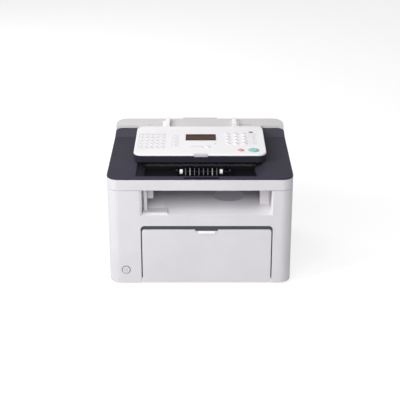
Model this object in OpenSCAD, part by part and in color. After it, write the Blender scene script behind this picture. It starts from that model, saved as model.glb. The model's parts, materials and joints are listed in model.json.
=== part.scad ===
// Desktop laser fax machine: an assembly of separate pieces, in millimetres.
// Origin: centre of the footprint, on the surface that the machine stands on.
// +X is the operator's right, +Y runs from the front to the back, +Z is up.

/* [Body] */
// Width of the machine
body_w = 372; // [360:1:400]
// Depth of the machine
body_d = 320; // [310:1:345]
// Radius of the upright corners
corner_r = 24; // [16:1:30]
// Thickness of the moulded walls
wall = 2.5; // [2:0.1:3]
// Height of the rubber feet
foot_h = 3; // [2:0.5:5]
// Height of the joint between the lower housing and the upper unit
seam_z = 205; // [200:1:215]
// Height of the front edge of the upper unit's white band
band_h = 23; // [20:1:28]

/* [Front openings] */
// Distance of the door and output slot from the middle of the machine
door_offset = 13.5; // [0:0.5:16]
// Width of the door opening and of the output slot
door_open_w = 266; // [240:1:270]
// Height of the door opening's top edge
door_open_top = 129; // [124:1:133]
// Height of the door's top edge
door_top = 121; // [112:1:123]
// Height of the output slot's sill
slot_z = 152; // [146:1:158]
// Thickness of the front door
door_t = 2.5; // [2:0.1:3]
// Radius of the hinge pins
pin_r = 2.5; // [2:0.1:3]

/* [Upper unit] */
// Thickness of the dark top cover
cover_t = 3.5; // [3:0.1:4]
// Rise of the top cover from its front edge to its crease
cover_rise = 4.5; // [3:0.5:6]
// Rise of the top cover behind its crease
cover_back_rise = 8; // [6:0.5:10]
// Distance from the top cover's crease to its back edge
crease_gap = 40; // [32:1:46]
// Depth of the full width part of the document tray, behind the top cover
tray_depth = 36; // [30:1:40]
// Width of the document exit recess
recess_w = 256; // [230:1:262]
// Distance from the front of the machine to the recess
recess_start = 12; // [9:1:16]
// Thickness of the document tray's skin
tray_t = 3; // [2.5:0.1:3.5]
// Height of the tray's surface where the documents enter, over the joint
tray_low = 40.5; // [40:0.5:42]
// Height of the tray's surface at the back edge, over the joint
tray_high = 49.5; // [46:0.5:51]

/* [Control panel] */
// Width of the control panel
panel_w = 272; // [264:1:280]
// Distance from the panel's back edge to the back of the machine
panel_back_gap = 70; // [66:1:76]
// Thickness of the control panel's plate
panel_t = 4; // [3:0.5:5]
// Distance of the panel's front edge from the front of the machine
panel_start = 80; // [78:1:82]
// Height of the panel's front edge over the joint
panel_low = 49; // [47:0.5:50]
// Height of the panel's back edge over the joint
panel_high = 53.5; // [52:0.5:55]
// Radius of the panel's corners
panel_r = 17; // [8:1:18]
// Travel of a key
key_travel = 1.2; // [0.8:0.1:1.5]
// Distance between the columns of dialling keys
key_pitch_x = 17.6; // [16:0.2:18]
// Distance between the rows of dialling keys
key_pitch_y = 18.6; // [16:0.2:19]

/* [Document guides] */
// Distance between the document guides at rest
guide_gap = 139; // [136:1:160]
// Distance of the guides' middle from the middle of the machine
guide_offset = 2.5; // [0:0.5:4]
// Width of a document guide
guide_w = 9; // [6:0.5:10]
// Travel of each document guide
guide_travel = 38; // [20:1:40]
// Height of the document guides over the tray
guide_h = 8; // [6:0.5:12]
// Width of the tray's extension
ext_w = 78; // [60:1:90]

/* [Paper path] */
// Distance between the paper guides at rest
paper_w = 216; // [210:1:220]
// Travel of each paper guide
paper_travel = 55; // [30:1:60]
// Thickness of the side frames
frame_t = 2.5; // [2:0.1:3]
// Radius of the roller shafts
shaft_r = 4; // [3:0.1:5]
// Tooth module of the gears
gear_m = 1.2; // [1:0.05:1.3]
// Teeth of the motor's pinion
pinion_teeth = 14; // [12:1:16]
// Teeth of the drive gear
gear_teeth = 42; // [36:1:44]

/* [Hidden] */
$fn = 64;

// Small gap between pieces that are fixed together
fit = 0.2;
// Small gap between pieces that slide on each other
slide_fit = 0.3;
// Radial clearance of a pin or shaft that turns in its bore
run_fit = 0.06;
// Amount by which a cutting shape runs past what it cuts
over = 1;

front_y = -body_d / 2;
rear_y = body_d / 2;
deck_z = foot_h + wall;
door_x0 = door_offset - door_open_w / 2;
door_x1 = door_offset + door_open_w / 2;

// Front door and its hinge
door_gap = 1.8;
door_hinge_y = front_y + 7;
door_hinge_z = foot_h + 7;
door_bottom = door_hinge_z - 5.5;
door_boss_r = pin_r + 2.5;
ear_t = 3;
ear_x = door_open_w / 2 - door_gap - 2 - ear_t;
bracket_t = 3.5;
bracket_x = door_open_w / 2 + door_gap;
lip_w = 34;
lip_out = 2;
button_x = -body_w / 2 + 35;
button_z = foot_h + 29;
button_r = 8.5;

// Hinge of the upper unit, on the rear edge
top_hinge_y = rear_y - 5;
top_hinge_z = seam_z + 6;
top_knuckle_r = pin_r + 2.3;
top_bracket_x = 100;
top_bracket_w = 20;
top_knuckle_w = 10;
rear_open_w = 300;
rear_lap = 6;
rear_top = seam_z - 3;

// Surface heights of the top cover
upper_z = seam_z + 0.6;
edge_z = seam_z + band_h;
cover_z0 = edge_z + cover_t;
cover_z1 = cover_z0 + cover_rise;
cover_z2 = cover_z1 + cover_back_rise;
cover_y2 = rear_y - tray_depth;
cover_y1 = cover_y2 - crease_gap;
recess_y0 = front_y + recess_start;

// Control panel, in a frame that is tilted with it
panel_y = front_y + panel_start;
panel_len = body_d - panel_start - panel_back_gap;
panel_z = seam_z + panel_low;
panel_tilt = asin((panel_high - panel_low) / panel_len);
panel_back_y = panel_y + panel_len * cos(panel_tilt);
base_inset = 1;
// Gap behind the panel's base, so that it clears the document tray as it swings
base_back_gap = 2.8;
// Width of the slot where documents go in, under the panel's back edge
feed_w = 200;
recess_y1 = panel_y + 20;

// Document tray, in a frame that is tilted with it
tray_y = panel_back_y + 1;
tray_z = seam_z + tray_low;
tray_tilt = atan((tray_high - tray_low) / (rear_y - tray_y));
tray_len = (rear_y - tray_y) / cos(tray_tilt);
// Drop from the tray's surface line to the frame that carries it
tray_drop = tray_t / cos(tray_tilt) + 0.02;
// Thickness of the tray's aprons beside its narrow part
apron_t = 3;

// Hinge of the control panel
panel_hinge_y = tray_y + 6;
panel_hinge_z = tray_z - 5.5;
panel_pin_r = 2;
panel_knuckle_r = panel_pin_r + 3;
arm_x = panel_w / 2 - 18;
arm_w = 20;
arm_swing = 12.5;

// Side frames and the roller places, as [y, z]
frame_gap = 6;
frame_x0 = door_x0 - frame_gap;
frame_x1 = door_x1 + frame_gap;
frame_d = body_d - 54;
frame_top = seam_z - 10;
pickup_at = [30, deck_z + 57];
drum_at = [62, deck_z + 95];
drum_r = 12;
transfer_r = 8;
transfer_at = drum_at + [drum_r + transfer_r + 0.4, 0];
fuser_r = 12;
pressure_r = 10;
fuser_at = [76, deck_z + 145];
pressure_at = fuser_at + [fuser_r + pressure_r + 0.4, 0];
output_at = [2, seam_z - 17];
trunnion_at = [-20, deck_z + 104];
trunnion_r = 5;
gear_distance = gear_m * (pinion_teeth + gear_teeth) / 2 + 0.2;
motor_at = transfer_at - [gear_distance, 0];
gear_x = frame_x0 - frame_t - 10;
gear_w = 8;
motor_len = 24;
roller_w = 220;
cartridge_w = 236;

// Boards
board_gap = 3;
board_len = 170;

// Paper tray
paper_z = deck_z + 17;
paper_floor_t = 2.5;
paper_floor_w = door_open_w - 8;
paper_front = front_y + 18;
paper_back = 42;
paper_slot_y = -57;
paper_slot_w = 6;

// Places of the sockets on the back
inlet_at = [-115, deck_z + 22];
inlet_size = [34, 26];
jacks_at = [112, deck_z + 26];
jacks_size = [60, 18];

// Plan outline of the machine, drawn in by a distance
module plan(inset) {
    w = body_w - 2 * inset;
    d = body_d - 2 * inset;
    rounded(w, d, corner_r - inset);
}

// Rectangle with round corners, centred
module rounded(w, d, r) {
    square([w - 2 * r, d], center = true);
    square([w, d - 2 * r], center = true);
    for (x = [-1, 1], y = [-1, 1])
        translate([x * (w / 2 - r), y * (d / 2 - r)])
            circle(r);
}

module column(inset, z0, z1) {
    translate([0, 0, z0])
        linear_extrude(z1 - z0)
            plan(inset);
}

// Box from its lowest to its highest corner
module block(low, high) {
    translate(low)
        cube(high - low);
}

// Extrudes an outline drawn in the YZ plane along X, centred on x
module side_profile(points, w, x = 0) {
    translate([x, 0, 0])
        rotate([90, 0, 90])
            linear_extrude(w, center = true)
                polygon(points);
}

// Cylinder along X, from x0 to x1, at a place [y, z]
module rod(r, x0, x1, at) {
    translate([x0, at[0], at[1]])
        rotate([0, 90, 0])
            cylinder(h = x1 - x0, r = r);
}

module in_panel() {
    translate([0, panel_y, panel_z])
        rotate([panel_tilt, 0, 0])
            children();
}

module in_tray() {
    translate([0, tray_y, tray_z])
        rotate([tray_tilt, 0, 0])
            children();
}

// ---------------------------------------------------------------- lower housing

module base_plate() {
    color("dimgray") {
        difference() {
            column(wall + fit, foot_h, deck_z);
            block([door_x0 - bracket_t - 2, front_y, 0], [door_x1 + bracket_t + 2, door_hinge_y + 9, deck_z + over]);
        }
        for (side = [-1, 1])
            difference() {
                x = side > 0 ? door_offset + bracket_x : door_offset - bracket_x - bracket_t;
                union() {
                    block([x, door_hinge_y - 4, door_hinge_z - 4], [x + bracket_t, door_hinge_y + 14, door_hinge_z + 5]);
                    block([x, door_hinge_y + 9, foot_h], [x + bracket_t, door_hinge_y + 14, door_hinge_z + 5]);
                }
                rod(pin_r, x - over, x + bracket_t + over, [door_hinge_y, door_hinge_z]);
            }
    }
}

// Opening of the front door, with round upper corners
module door_opening() {
    r = door_open_top - door_top;
    translate([0, front_y + wall + over, 0])
        rotate([90, 0, 0])
            linear_extrude(wall + 2 * over) {
                translate([door_x0, -over])
                    square([door_open_w, door_top + over]);
                translate([door_x0 + r, 0])
                    square([door_open_w - 2 * r, door_open_top]);
                for (x = [door_x0 + r, door_x1 - r])
                    translate([x, door_top])
                        circle(r);
            }
}

module housing() {
    color("white")
        difference() {
            column(0, foot_h, seam_z);
            column(wall, foot_h - over, seam_z + over);
            block([door_x0, front_y - over, slot_z], [door_x1, front_y + wall + over, seam_z + over]);
            door_opening();
            block([-rear_open_w / 2, rear_y - wall - over, 0], [rear_open_w / 2, rear_y + over, seam_z + over]);
            translate([button_x, front_y, button_z])
                rotate([90, 0, 0])
                    cylinder(h = 3 * wall, r = button_r + slide_fit, center = true);
        }
}

module rear_cover() {
    vent_w = 3;
    vent_h = 36;
    vent_pitch = 9;
    color("whitesmoke")
        difference() {
            union() {
                block([-rear_open_w / 2 + fit, rear_y - 2 * wall, foot_h],
                      [rear_open_w / 2 - fit, rear_y, rear_top]);
                block([-rear_open_w / 2 - rear_lap, rear_y - 2 * wall, deck_z + fit],
                      [rear_open_w / 2 + rear_lap, rear_y - wall - fit, rear_top]);
                for (side = [-1, 1]) {
                    x = side > 0 ? top_bracket_x : -top_bracket_x - top_bracket_w;
                    block([x, top_hinge_y - top_knuckle_r, rear_top - 12],
                          [x + top_bracket_w, top_hinge_y + top_knuckle_r, top_hinge_z]);
                    rod(top_knuckle_r, x, x + top_bracket_w, [top_hinge_y, top_hinge_z]);
                }
            }
            for (side = [-1, 1]) {
                x = side > 0 ? top_bracket_x : -top_bracket_x - top_bracket_w;
                rod(pin_r, x - over, x + top_bracket_w + over, [top_hinge_y, top_hinge_z]);
            }
            for (i = [-6:6])
                block([i * vent_pitch - vent_w / 2, rear_y - 3 * wall, rear_top - 30 - vent_h],
                      [i * vent_pitch + vent_w / 2, rear_y + over, rear_top - 30]);
            socket_hole(inlet_at, inlet_size);
            socket_hole(jacks_at, jacks_size);
            block([-rear_open_w, rear_y - 3 * wall, 0], [rear_open_w, rear_y - wall - fit, deck_z + fit]);
        }
}

module socket_hole(at, size) {
    block([at[0] - size[0] / 2 - fit, rear_y - 3 * wall, at[1] - size[1] / 2 - fit],
          [at[0] + size[0] / 2 + fit, rear_y + over, at[1] + size[1] / 2 + fit]);
}

module rubber_feet() {
    color("black")
        for (x = [-1, 1], y = [-1, 1])
            translate([x * (body_w / 2 - 34), y * (body_d / 2 - 34), 0])
                cylinder(h = foot_h, r1 = 8, r2 = 9);
}

module side_frame(x) {
    color("silver")
        difference() {
            union() {
                block([x, -frame_d / 2, deck_z], [x + frame_t, frame_d / 2, frame_top]);
            }
            for (at = [pickup_at, transfer_at, fuser_at, pressure_at, output_at])
                rod(shaft_r + run_fit, x - over, x + frame_t + over, at);
            rod(trunnion_r + run_fit, x - over, x + frame_t + over, trunnion_at);
        }
}

module output_tray() {
    slope_y = front_y + 55;
    end_y = output_at[0] - 12;
    end_z = seam_z - 22;
    t = 2.5;
    in_w = door_open_w - 2 * t;
    color("white") {
        side_profile([[front_y + wall + fit, slot_z - t], [front_y + wall + fit, slot_z],
                      [slope_y, slot_z], [end_y, end_z], [end_y, end_z - t],
                      [slope_y, slot_z - t]], frame_x1 - frame_x0 - 2 * fit, door_offset);
        for (side = [-1, 1])
            side_profile([[front_y + wall + fit, slot_z - t], [front_y + wall + fit, seam_z - 1],
                          [end_y, seam_z - 1], [end_y, end_z - t], [slope_y, slot_z - t]],
                         t, door_offset + side * (in_w + t) / 2);
        // Raised rest on the left of the tray's floor
        side_profile([[front_y + 30, slot_z - over], [front_y + 30, slot_z + 6], [slope_y + 14, slot_z + 9],
                      [slope_y + 14, slot_z]], 46, door_x0 + 25);
    }
}

module ac_inlet() {
    wide = inlet_size[0];
    tall = inlet_size[1];
    color("black")
        translate([inlet_at[0], rear_y, inlet_at[1]])
            difference() {
                block([-wide / 2, -24, -tall / 2], [wide / 2, 0, tall / 2]);
                block([-wide / 2 + 4, -18, -tall / 2 + 4], [wide / 2 - 4, over, tall / 2 - 4]);
            }
    color("silver")
        translate([inlet_at[0], rear_y, inlet_at[1]])
            for (x = [-7, 0, 7])
                block([x - 1, -20, -3], [x + 1, -6, 3]);
}

module line_jacks() {
    wide = jacks_size[0];
    tall = jacks_size[1];
    jack_pitch = 20;
    color("black")
        translate([jacks_at[0], rear_y, jacks_at[1]])
            difference() {
                block([-wide / 2, -22, -tall / 2], [wide / 2, 0, tall / 2]);
                for (i = [-1:1])
                    block([i * jack_pitch - 6, -15, -5], [i * jack_pitch + 6, over, 5]);
            }
}

module main_board() {
    x = frame_x1 + frame_t + board_gap;
    y0 = -board_len / 2 - 10;
    color("green") {
        block([x, y0, deck_z + 40], [x + 1.6, y0 + board_len, deck_z + 165]);
        for (y = [y0 + 10, y0 + board_len - 10], z = [50, 155])
            rod(3, frame_x1 + frame_t + 0.02, x, [y, deck_z + z]);
        for (i = [0:2])
            block([x + 1.6, y0 + 25 + i * 50, deck_z + 60], [x + 4.6, y0 + 55 + i * 50, deck_z + 90]);
    }
}

module power_supply() {
    x0 = -body_w / 2 + wall + 4;
    x1 = frame_x0 - frame_t - 4;
    color("gold") {
        block([x0, -5, deck_z], [x1, 118, deck_z + 2]);
        block([x0 + 4, 5, deck_z + 2], [x1 - 4, 60, deck_z + 40]);
        translate([(x0 + x1) / 2, 88, deck_z + 2])
            cylinder(h = 34, r = 12);
    }
}

module laser_unit() {
    color("black") {
        block([frame_x0 + fit, -8, deck_z + 132], [frame_x1 - fit, 50, deck_z + 135]);
        block([door_offset - 75, -8, deck_z + 135], [door_offset + 75, 50, deck_z + 162]);
        translate([door_offset, 20, deck_z + 161])
            cylinder(h = 4, r = 22);
    }
}

// ---------------------------------------------------------------- drive and rollers

// Gear with straight-flanked teeth; a tooth points along +X when phase is 0
module gear(teeth, w, bore_r, phase) {
    pitch_r = gear_m * teeth / 2;
    step = 360 / teeth;
    root_r = pitch_r - 1.2 * gear_m;
    tip_r = pitch_r + 0.8 * gear_m;
    rotate([0, 0, phase])
        linear_extrude(w)
            difference() {
                polygon([for (i = [0:teeth - 1], k = [[root_r, -0.30], [tip_r, -0.12], [tip_r, 0.12], [root_r, 0.30]])
                    k[0] * [cos((i + k[1]) * step), sin((i + k[1]) * step)]]);
                circle(bore_r);
            }
}

module main_motor() {
    x1 = gear_x - 2;
    color("silver")
        difference() {
            union() {
                rod(20, x1 - motor_len, x1 - 2, motor_at);
                block([x1 - 2, motor_at[0] - 22, motor_at[1] - 22], [x1, motor_at[0] + 6, motor_at[1] + 22]);
                for (z = [-16, 16])
                    rod(3, x1, frame_x0 - frame_t - 0.02, motor_at + [-16, z]);
            }
            rod(2 + run_fit, x1 - 12, x1 + over, motor_at);
        }
}

module motor_pinion() {
    color("white")
        translate([gear_x, motor_at[0], motor_at[1]])
            rotate([90, 0, 90])
                gear(pinion_teeth, gear_w, 0, 180 / pinion_teeth);
    color("silver")
        rod(2, gear_x - 12, gear_x + over, motor_at);
}

module drive_gear() {
    color("white")
        translate([gear_x, transfer_at[0], transfer_at[1]])
            rotate([90, 0, 90])
                gear(gear_teeth, gear_w, shaft_r, 180 - 360 / gear_teeth * floor(gear_teeth / 2));
}

// Shaft across both side frames
module shaft(at) {
    color("silver")
        rod(shaft_r, frame_x0 - 2, frame_x1 + frame_t + 2, at);
}

module transfer_roller() {
    color("silver")
        rod(shaft_r, gear_x, frame_x1 + frame_t + 2, transfer_at);
    color("black")
        rod(transfer_r, door_offset - roller_w / 2, door_offset + roller_w / 2, transfer_at);
}

module toner_cartridge() {
    x0 = door_offset - cartridge_w / 2;
    x1 = door_offset + cartridge_w / 2;
    color("black") {
        block([x0, -75, deck_z + 82], [x1, 40, deck_z + 128]);
        side_profile([[38, deck_z + 84], [drum_at[0] - 6, drum_at[1] - 6], [drum_at[0] - 6, drum_at[1] + 12],
                      [38, deck_z + 122]], x1 - x0, door_offset);
        rod(trunnion_r, frame_x0 + fit, frame_x1 + frame_t - fit, trunnion_at);
    }
    color("seagreen")
        rod(drum_r, x0 + 5, x1 - 5, drum_at);
}

module fuser_roller() {
    shaft(fuser_at);
    color("saddlebrown")
        rod(fuser_r, door_offset - roller_w / 2 - 2, door_offset + roller_w / 2 + 2, fuser_at);
}

module pressure_roller() {
    shaft(pressure_at);
    color("darkred")
        rod(pressure_r, door_offset - roller_w / 2 - 2, door_offset + roller_w / 2 + 2, pressure_at);
}

module output_roller() {
    shaft(output_at);
    color("black")
        for (x = [-84, -28, 28, 84])
            rod(8, door_offset + x - 6, door_offset + x + 6, output_at);
}

module pickup_roller() {
    shaft(pickup_at);
    color("black")
        rod(16, door_offset - 24, door_offset + 24, pickup_at);
}

// ---------------------------------------------------------------- paper tray and door

module paper_tray() {
    x0 = door_offset - paper_floor_w / 2;
    x1 = door_offset + paper_floor_w / 2;
    color("darkslategray")
        difference() {
            union() {
                block([x0, paper_front, paper_z - paper_floor_t], [x1, paper_back, paper_z]);
                for (x = [x0, x1 - wall])
                    block([x, paper_front, deck_z], [x + wall, paper_back, paper_z]);
                block([x0, paper_back - wall, deck_z], [x1, paper_back, paper_z + 26]);
            }
            for (side = [-1, 1]) {
                inner = door_offset + side * (paper_w / 2 - paper_travel - 12);
                outer = door_offset + side * (paper_w / 2 + 11);
                block([min(inner, outer), paper_slot_y - paper_slot_w / 2, deck_z],
                      [max(inner, outer), paper_slot_y + paper_slot_w / 2, paper_z + over]);
            }
        }
}

module paper_guide(side) {
    x = door_offset + side * paper_w / 2;
    neck = paper_slot_w / 2 - slide_fit;
    color("lightgray") {
        block([min(x, x + side * 2), -112, paper_z + slide_fit], [max(x, x + side * 2), -8, paper_z + 24]);
        block([min(x - side * 8, x + side * 8), paper_slot_y - 14, paper_z + slide_fit],
              [max(x - side * 8, x + side * 8), paper_slot_y + 14, paper_z + 2]);
        block([x - 5, paper_slot_y - neck, paper_z - paper_floor_t - 3],
              [x + 5, paper_slot_y + neck, paper_z + 1]);
        block([x - 5, paper_slot_y - 8, paper_z - paper_floor_t - 3],
              [x + 5, paper_slot_y + 8, paper_z - paper_floor_t - slide_fit]);
    }
}

module front_door() {
    w = door_open_w - 2 * door_gap;
    h = door_top - door_bottom;
    r = 6;
    color("white")
        difference() {
            union() {
                translate([door_offset, front_y + door_t, door_bottom])
                    rotate([90, 0, 0])
                        linear_extrude(door_t)
                            difference() {
                                union() {
                                    translate([-w / 2, 0])
                                        square([w, h - r]);
                                    translate([-w / 2 + r, h - r])
                                        square([w - 2 * r, r]);
                                    for (x = [-1, 1])
                                        translate([x * (w / 2 - r), h - r])
                                            circle(r);
                                }
                                translate([-lip_w / 2 - 6, h - 3])
                                    square([lip_w + 12, 3 + over]);
                            }
                // Grip that stands a little out of the door's top edge
                block([door_offset - lip_w / 2, front_y - lip_out, door_top - 9],
                      [door_offset + lip_w / 2, front_y + door_t + 2, door_top - 4]);
                for (side = [-1, 1]) {
                    x = side > 0 ? door_offset + ear_x : door_offset - ear_x - ear_t;
                    rod(door_boss_r, x, x + ear_t, [door_hinge_y, door_hinge_z]);
                    block([x, front_y + door_t - over, door_hinge_z - door_boss_r],
                          [x + ear_t, door_hinge_y, door_hinge_z + door_boss_r]);
                }
            }
            rod(pin_r + run_fit, door_x0, door_x1, [door_hinge_y, door_hinge_z]);
        }
}

// The pins of the front door and of the upper unit, fixed in the lower part
module hinge_pins() {
    color("silver") {
        rod(pin_r, door_offset - bracket_x - bracket_t, door_offset - ear_x, [door_hinge_y, door_hinge_z]);
        rod(pin_r, door_offset + ear_x, door_offset + bracket_x + bracket_t, [door_hinge_y, door_hinge_z]);
        for (side = [-1, 1]) {
            near = side * (top_bracket_x + 1);
            far = side * (top_bracket_x + top_bracket_w + top_knuckle_w);
            rod(pin_r, min(near, far), max(near, far), [top_hinge_y, top_hinge_z]);
        }
    }
}

module power_button() {
    color("white")
        translate([button_x, front_y, button_z])
            rotate([-90, 0, 0]) {
                translate([0, 0, -0.5])
                    cylinder(h = 4, r = button_r);
                translate([0, 0, wall + slide_fit])
                    cylinder(h = 2, r = button_r + 1.5);
                cylinder(h = 12, r = 3);
            }
}

module case_screws() {
    color("silver")
        for (x = [-1, 1], z = [deck_z + 20, rear_top - 20])
            translate([x * (rear_open_w / 2 + rear_lap / 2 - 8), rear_y + 1.5, z])
                rotate([90, 0, 0])
                    difference() {
                        cylinder(h = 1.5, r = 3);
                        cube([4, 0.8, 1.6], center = true);
                        cube([0.8, 4, 1.6], center = true);
                    }
}

// ---------------------------------------------------------------- upper unit

// Outline of the upper unit's side, a distance below its outer surface
function upper_outline(drop, low) = [
    [front_y - over, low], [front_y - over, cover_z0 - drop], [cover_y1, cover_z1 - drop],
    [cover_y2, cover_z2 - drop], [rear_y + over, cover_z2 - drop], [rear_y + over, low]];

// Outline of the tray's surface line, a distance below it, from the cover's back edge
function tray_line(y) = tray_z + (y - tray_y) * tan(tray_tilt);

module upper_frame() {
    color("white") {
        difference() {
            union() {
                intersection() {
                    side_profile(upper_outline(cover_t, upper_z), body_w + 2);
                    column(0, upper_z, seam_z + 60);
                }
                intersection() {
                    corner_fill(fit);
                    side_profile(upper_outline(0.2, edge_z), body_w + 2);
                    block([-body_w, front_y, edge_z], [body_w, cover_y2 - 0.02, seam_z + 80]);
                    column(0, upper_z, seam_z + 60);
                }
                intersection() {
                    side_profile([[cover_y2 + apron_t + fit, upper_z],
                                  [cover_y2 + apron_t + fit, tray_line(cover_y2 + apron_t) - tray_drop],
                                  [rear_y + over, tray_line(rear_y + over) - tray_drop],
                                  [rear_y + over, upper_z]], body_w + 2);
                    column(0, upper_z, seam_z + 60);
                }
            }
            column(wall, upper_z + wall, seam_z + 70);
            block([-body_w, top_hinge_y - 5, seam_z - over], [body_w, rear_y + over, seam_z + 4]);
            for (side = [-1, 1]) {
                near = side * (top_bracket_x - slide_fit);
                far = side * (top_bracket_x + top_bracket_w + slide_fit);
                block([min(near, far), top_hinge_y - top_knuckle_r - 1.2, seam_z],
                      [max(near, far), rear_y + over, top_hinge_z + top_knuckle_r + 1.2]);
            }
            block([-ext_w / 2 - 4.5, rear_y - 3 * wall, tray_line(rear_y) - tray_t - 6],
                  [ext_w / 2 + 4.5, rear_y + 2 * over, tray_line(rear_y) + over]);
        }
        for (side = [-1, 1])
            difference() {
                near = side * (top_bracket_x + top_bracket_w + slide_fit);
                far = side * (top_bracket_x + top_bracket_w + slide_fit + top_knuckle_w);
                union() {
                    rod(top_knuckle_r, min(near, far), max(near, far), [top_hinge_y, top_hinge_z]);
                    block([min(near, far), top_hinge_y - top_knuckle_r, top_hinge_z],
                          [max(near, far), rear_y - wall + over / 2, top_hinge_z + 12]);
                }
                rod(pin_r + run_fit, min(near, far) - over, max(near, far) + over, [top_hinge_y, top_hinge_z]);
            }
    }
}

sensor_y = panel_y + 65;
sensor_w = 224;
drive_y = panel_y + 105;
drive_r = 9;
exit_y = panel_y - 24;
exit_shaft_r = 2;
rib_pitch = 9;
rib_count = 6;
// Radius of the top cover's rear corners
cover_corner_r = 15;
// Width of the ramps at the ends of the document exit
ramp_w = 15;
// Middle of the finger groove
groove_x = 2.5;
// The two rib places that hold an exit roller instead
roller_ribs = [-5, 4];

function rib_x(i) = 7 + i * rib_pitch;

function cover_line(y) = y < cover_y1
    ? cover_z0 + (y - front_y) / (cover_y1 - front_y) * (cover_z1 - cover_z0)
    : cover_z1 + (y - cover_y1) / (cover_y2 - cover_y1) * (cover_z2 - cover_z1);

// Filler of the upper frame outside the top cover's round rear corners, drawn in by a gap
module corner_fill(gap) {
    for (side = [-1, 1])
        difference() {
            block([side > 0 ? body_w / 2 - cover_corner_r + gap : -body_w / 2 - over, cover_y2 - cover_corner_r + gap, edge_z],
                  [side > 0 ? body_w / 2 + over : -body_w / 2 + cover_corner_r - gap, cover_y2 + over, seam_z + 80]);
            translate([side * (body_w / 2 - cover_corner_r), cover_y2 - cover_corner_r, edge_z - over])
                cylinder(h = 80, r = cover_corner_r + gap);
        }
}

module top_cover() {
    recess_front_z = edge_z - 7;
    recess_back_z = edge_z - 13;
    side_t = 2;
    drive_z = cover_line(drive_y) - drive_r + 0.8;
    color("#2b2c38")
        difference() {
            union() {
                difference() {
                    intersection() {
                        side_profile(upper_outline(0, edge_z), body_w + 2);
                        column(0, edge_z, seam_z + 70);
                    }
                    side_profile([[front_y - 2 * over, edge_z - over], [front_y - 2 * over, cover_z0 - cover_t],
                                  [front_y - over, cover_z0 - cover_t], [cover_y1, cover_z1 - cover_t],
                                  [cover_y2, cover_z2 - cover_t], [cover_y2 + over, cover_z2 - cover_t],
                                  [cover_y2 + over, edge_z - over]], body_w + 4);
                    block([-body_w, cover_y2, 0], [body_w, rear_y + over, seam_z + 80]);
                    block([-recess_w / 2, recess_y0, 0], [recess_w / 2, recess_y1, seam_z + 80]);
                    // Open under the document tray
                    block([-panel_w / 2 + 3, tray_y + over, 0], [panel_w / 2 - 3, cover_y2 + over, seam_z + 80]);
                }
                // Tub of the document exit
                difference() {
                    side_profile([[recess_y0 - side_t, recess_front_z - side_t], [recess_y0 - side_t, cover_z0 - over],
                                  [recess_y1 + side_t, cover_line(recess_y1) - over],
                                  [recess_y1 + side_t, recess_back_z - side_t]], recess_w + 2 * side_t);
                    side_profile([[recess_y0, recess_front_z], [recess_y0, seam_z + 80], [recess_y1, seam_z + 80],
                                  [recess_y1, recess_back_z]], recess_w);
                }
                // Ribs on the tub's floor
                for (i = [-rib_count:rib_count])
                    if (i != roller_ribs[0] && i != roller_ribs[1])
                        side_profile([[recess_y0 + 22, recess_front_z - over], [recess_y0 + 30, recess_front_z + 1],
                                  [recess_y1 + over, recess_front_z + 1], [recess_y1 + over, recess_back_z - over]],
                                 1.4, rib_x(i));
                // Ramps at the tub's ends
                for (side = [-1, 1])
                    translate([0, recess_y1, 0])
                        rotate([90, 0, 0])
                            linear_extrude(recess_y1 - recess_y0)
                                polygon([[side * (recess_w / 2 - ramp_w), recess_back_z - 2], [side * (recess_w / 2 + 1), recess_back_z - 2],
                                         [side * (recess_w / 2 + 1), edge_z + 1], [side * recess_w / 2, edge_z + 1],
                                         [side * (recess_w / 2 - ramp_w), recess_back_z + 1]]);
                // Posts that hold the exit rollers
                for (x = [rib_x(-rib_count), rib_x(rib_count)])
                    block([x - 1.5, exit_y - 5, recess_back_z - over], [x + 1.5, exit_y + 5, edge_z + 1]);
                // Hangers of the document roller
                for (x = [-32, 30])
                    block([x, drive_y - 6, drive_z - 6], [x + 2, drive_y + 6, cover_line(drive_y) - 2]);
            }
            corner_fill(0);
            // Finger groove along the front edge
            block([groove_x - 35, front_y + 1.2, cover_z0 - 2.2], [groove_x + 35, front_y + 5.2, seam_z + 80]);
            block([-sensor_w / 2 - fit, sensor_y - fit, 0], [sensor_w / 2 + fit, sensor_y + 18 + fit, seam_z + 80]);
            block([-26, drive_y - drive_r - 1, 0], [26, drive_y + drive_r + 1, seam_z + 80]);
            rod(exit_shaft_r + run_fit, rib_x(-rib_count) - 5, rib_x(rib_count) + 5, [exit_y, edge_z - 3]);
            rod(3 + run_fit, -34, 34, [drive_y, drive_z]);
            // Way out for the documents
            block([-recess_w / 2 + 12, recess_y1 - over, edge_z - 8], [recess_w / 2 - 12, recess_y1 + 3, edge_z - 2]);
        }
}

module exit_rollers() {
    color("silver")
        rod(exit_shaft_r, rib_x(-rib_count) - 2, rib_x(rib_count) + 2, [exit_y, edge_z - 3]);
    color("white")
        for (i = roller_ribs)
            rod(5, rib_x(i) - 3, rib_x(i) + 3, [exit_y, edge_z - 3]);
}

module document_roller() {
    drive_z = cover_line(drive_y) - drive_r + 0.8;
    color("silver")
        rod(3, -32, 32, [drive_y, drive_z]);
    color("black")
        rod(drive_r, -22, 22, [drive_y, drive_z]);
}

module image_sensor() {
    top = cover_line(sensor_y) + 0.3;
    color("black")
        block([-sensor_w / 2, sensor_y, top - 14], [sensor_w / 2, sensor_y + 18, top]);
}

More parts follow.
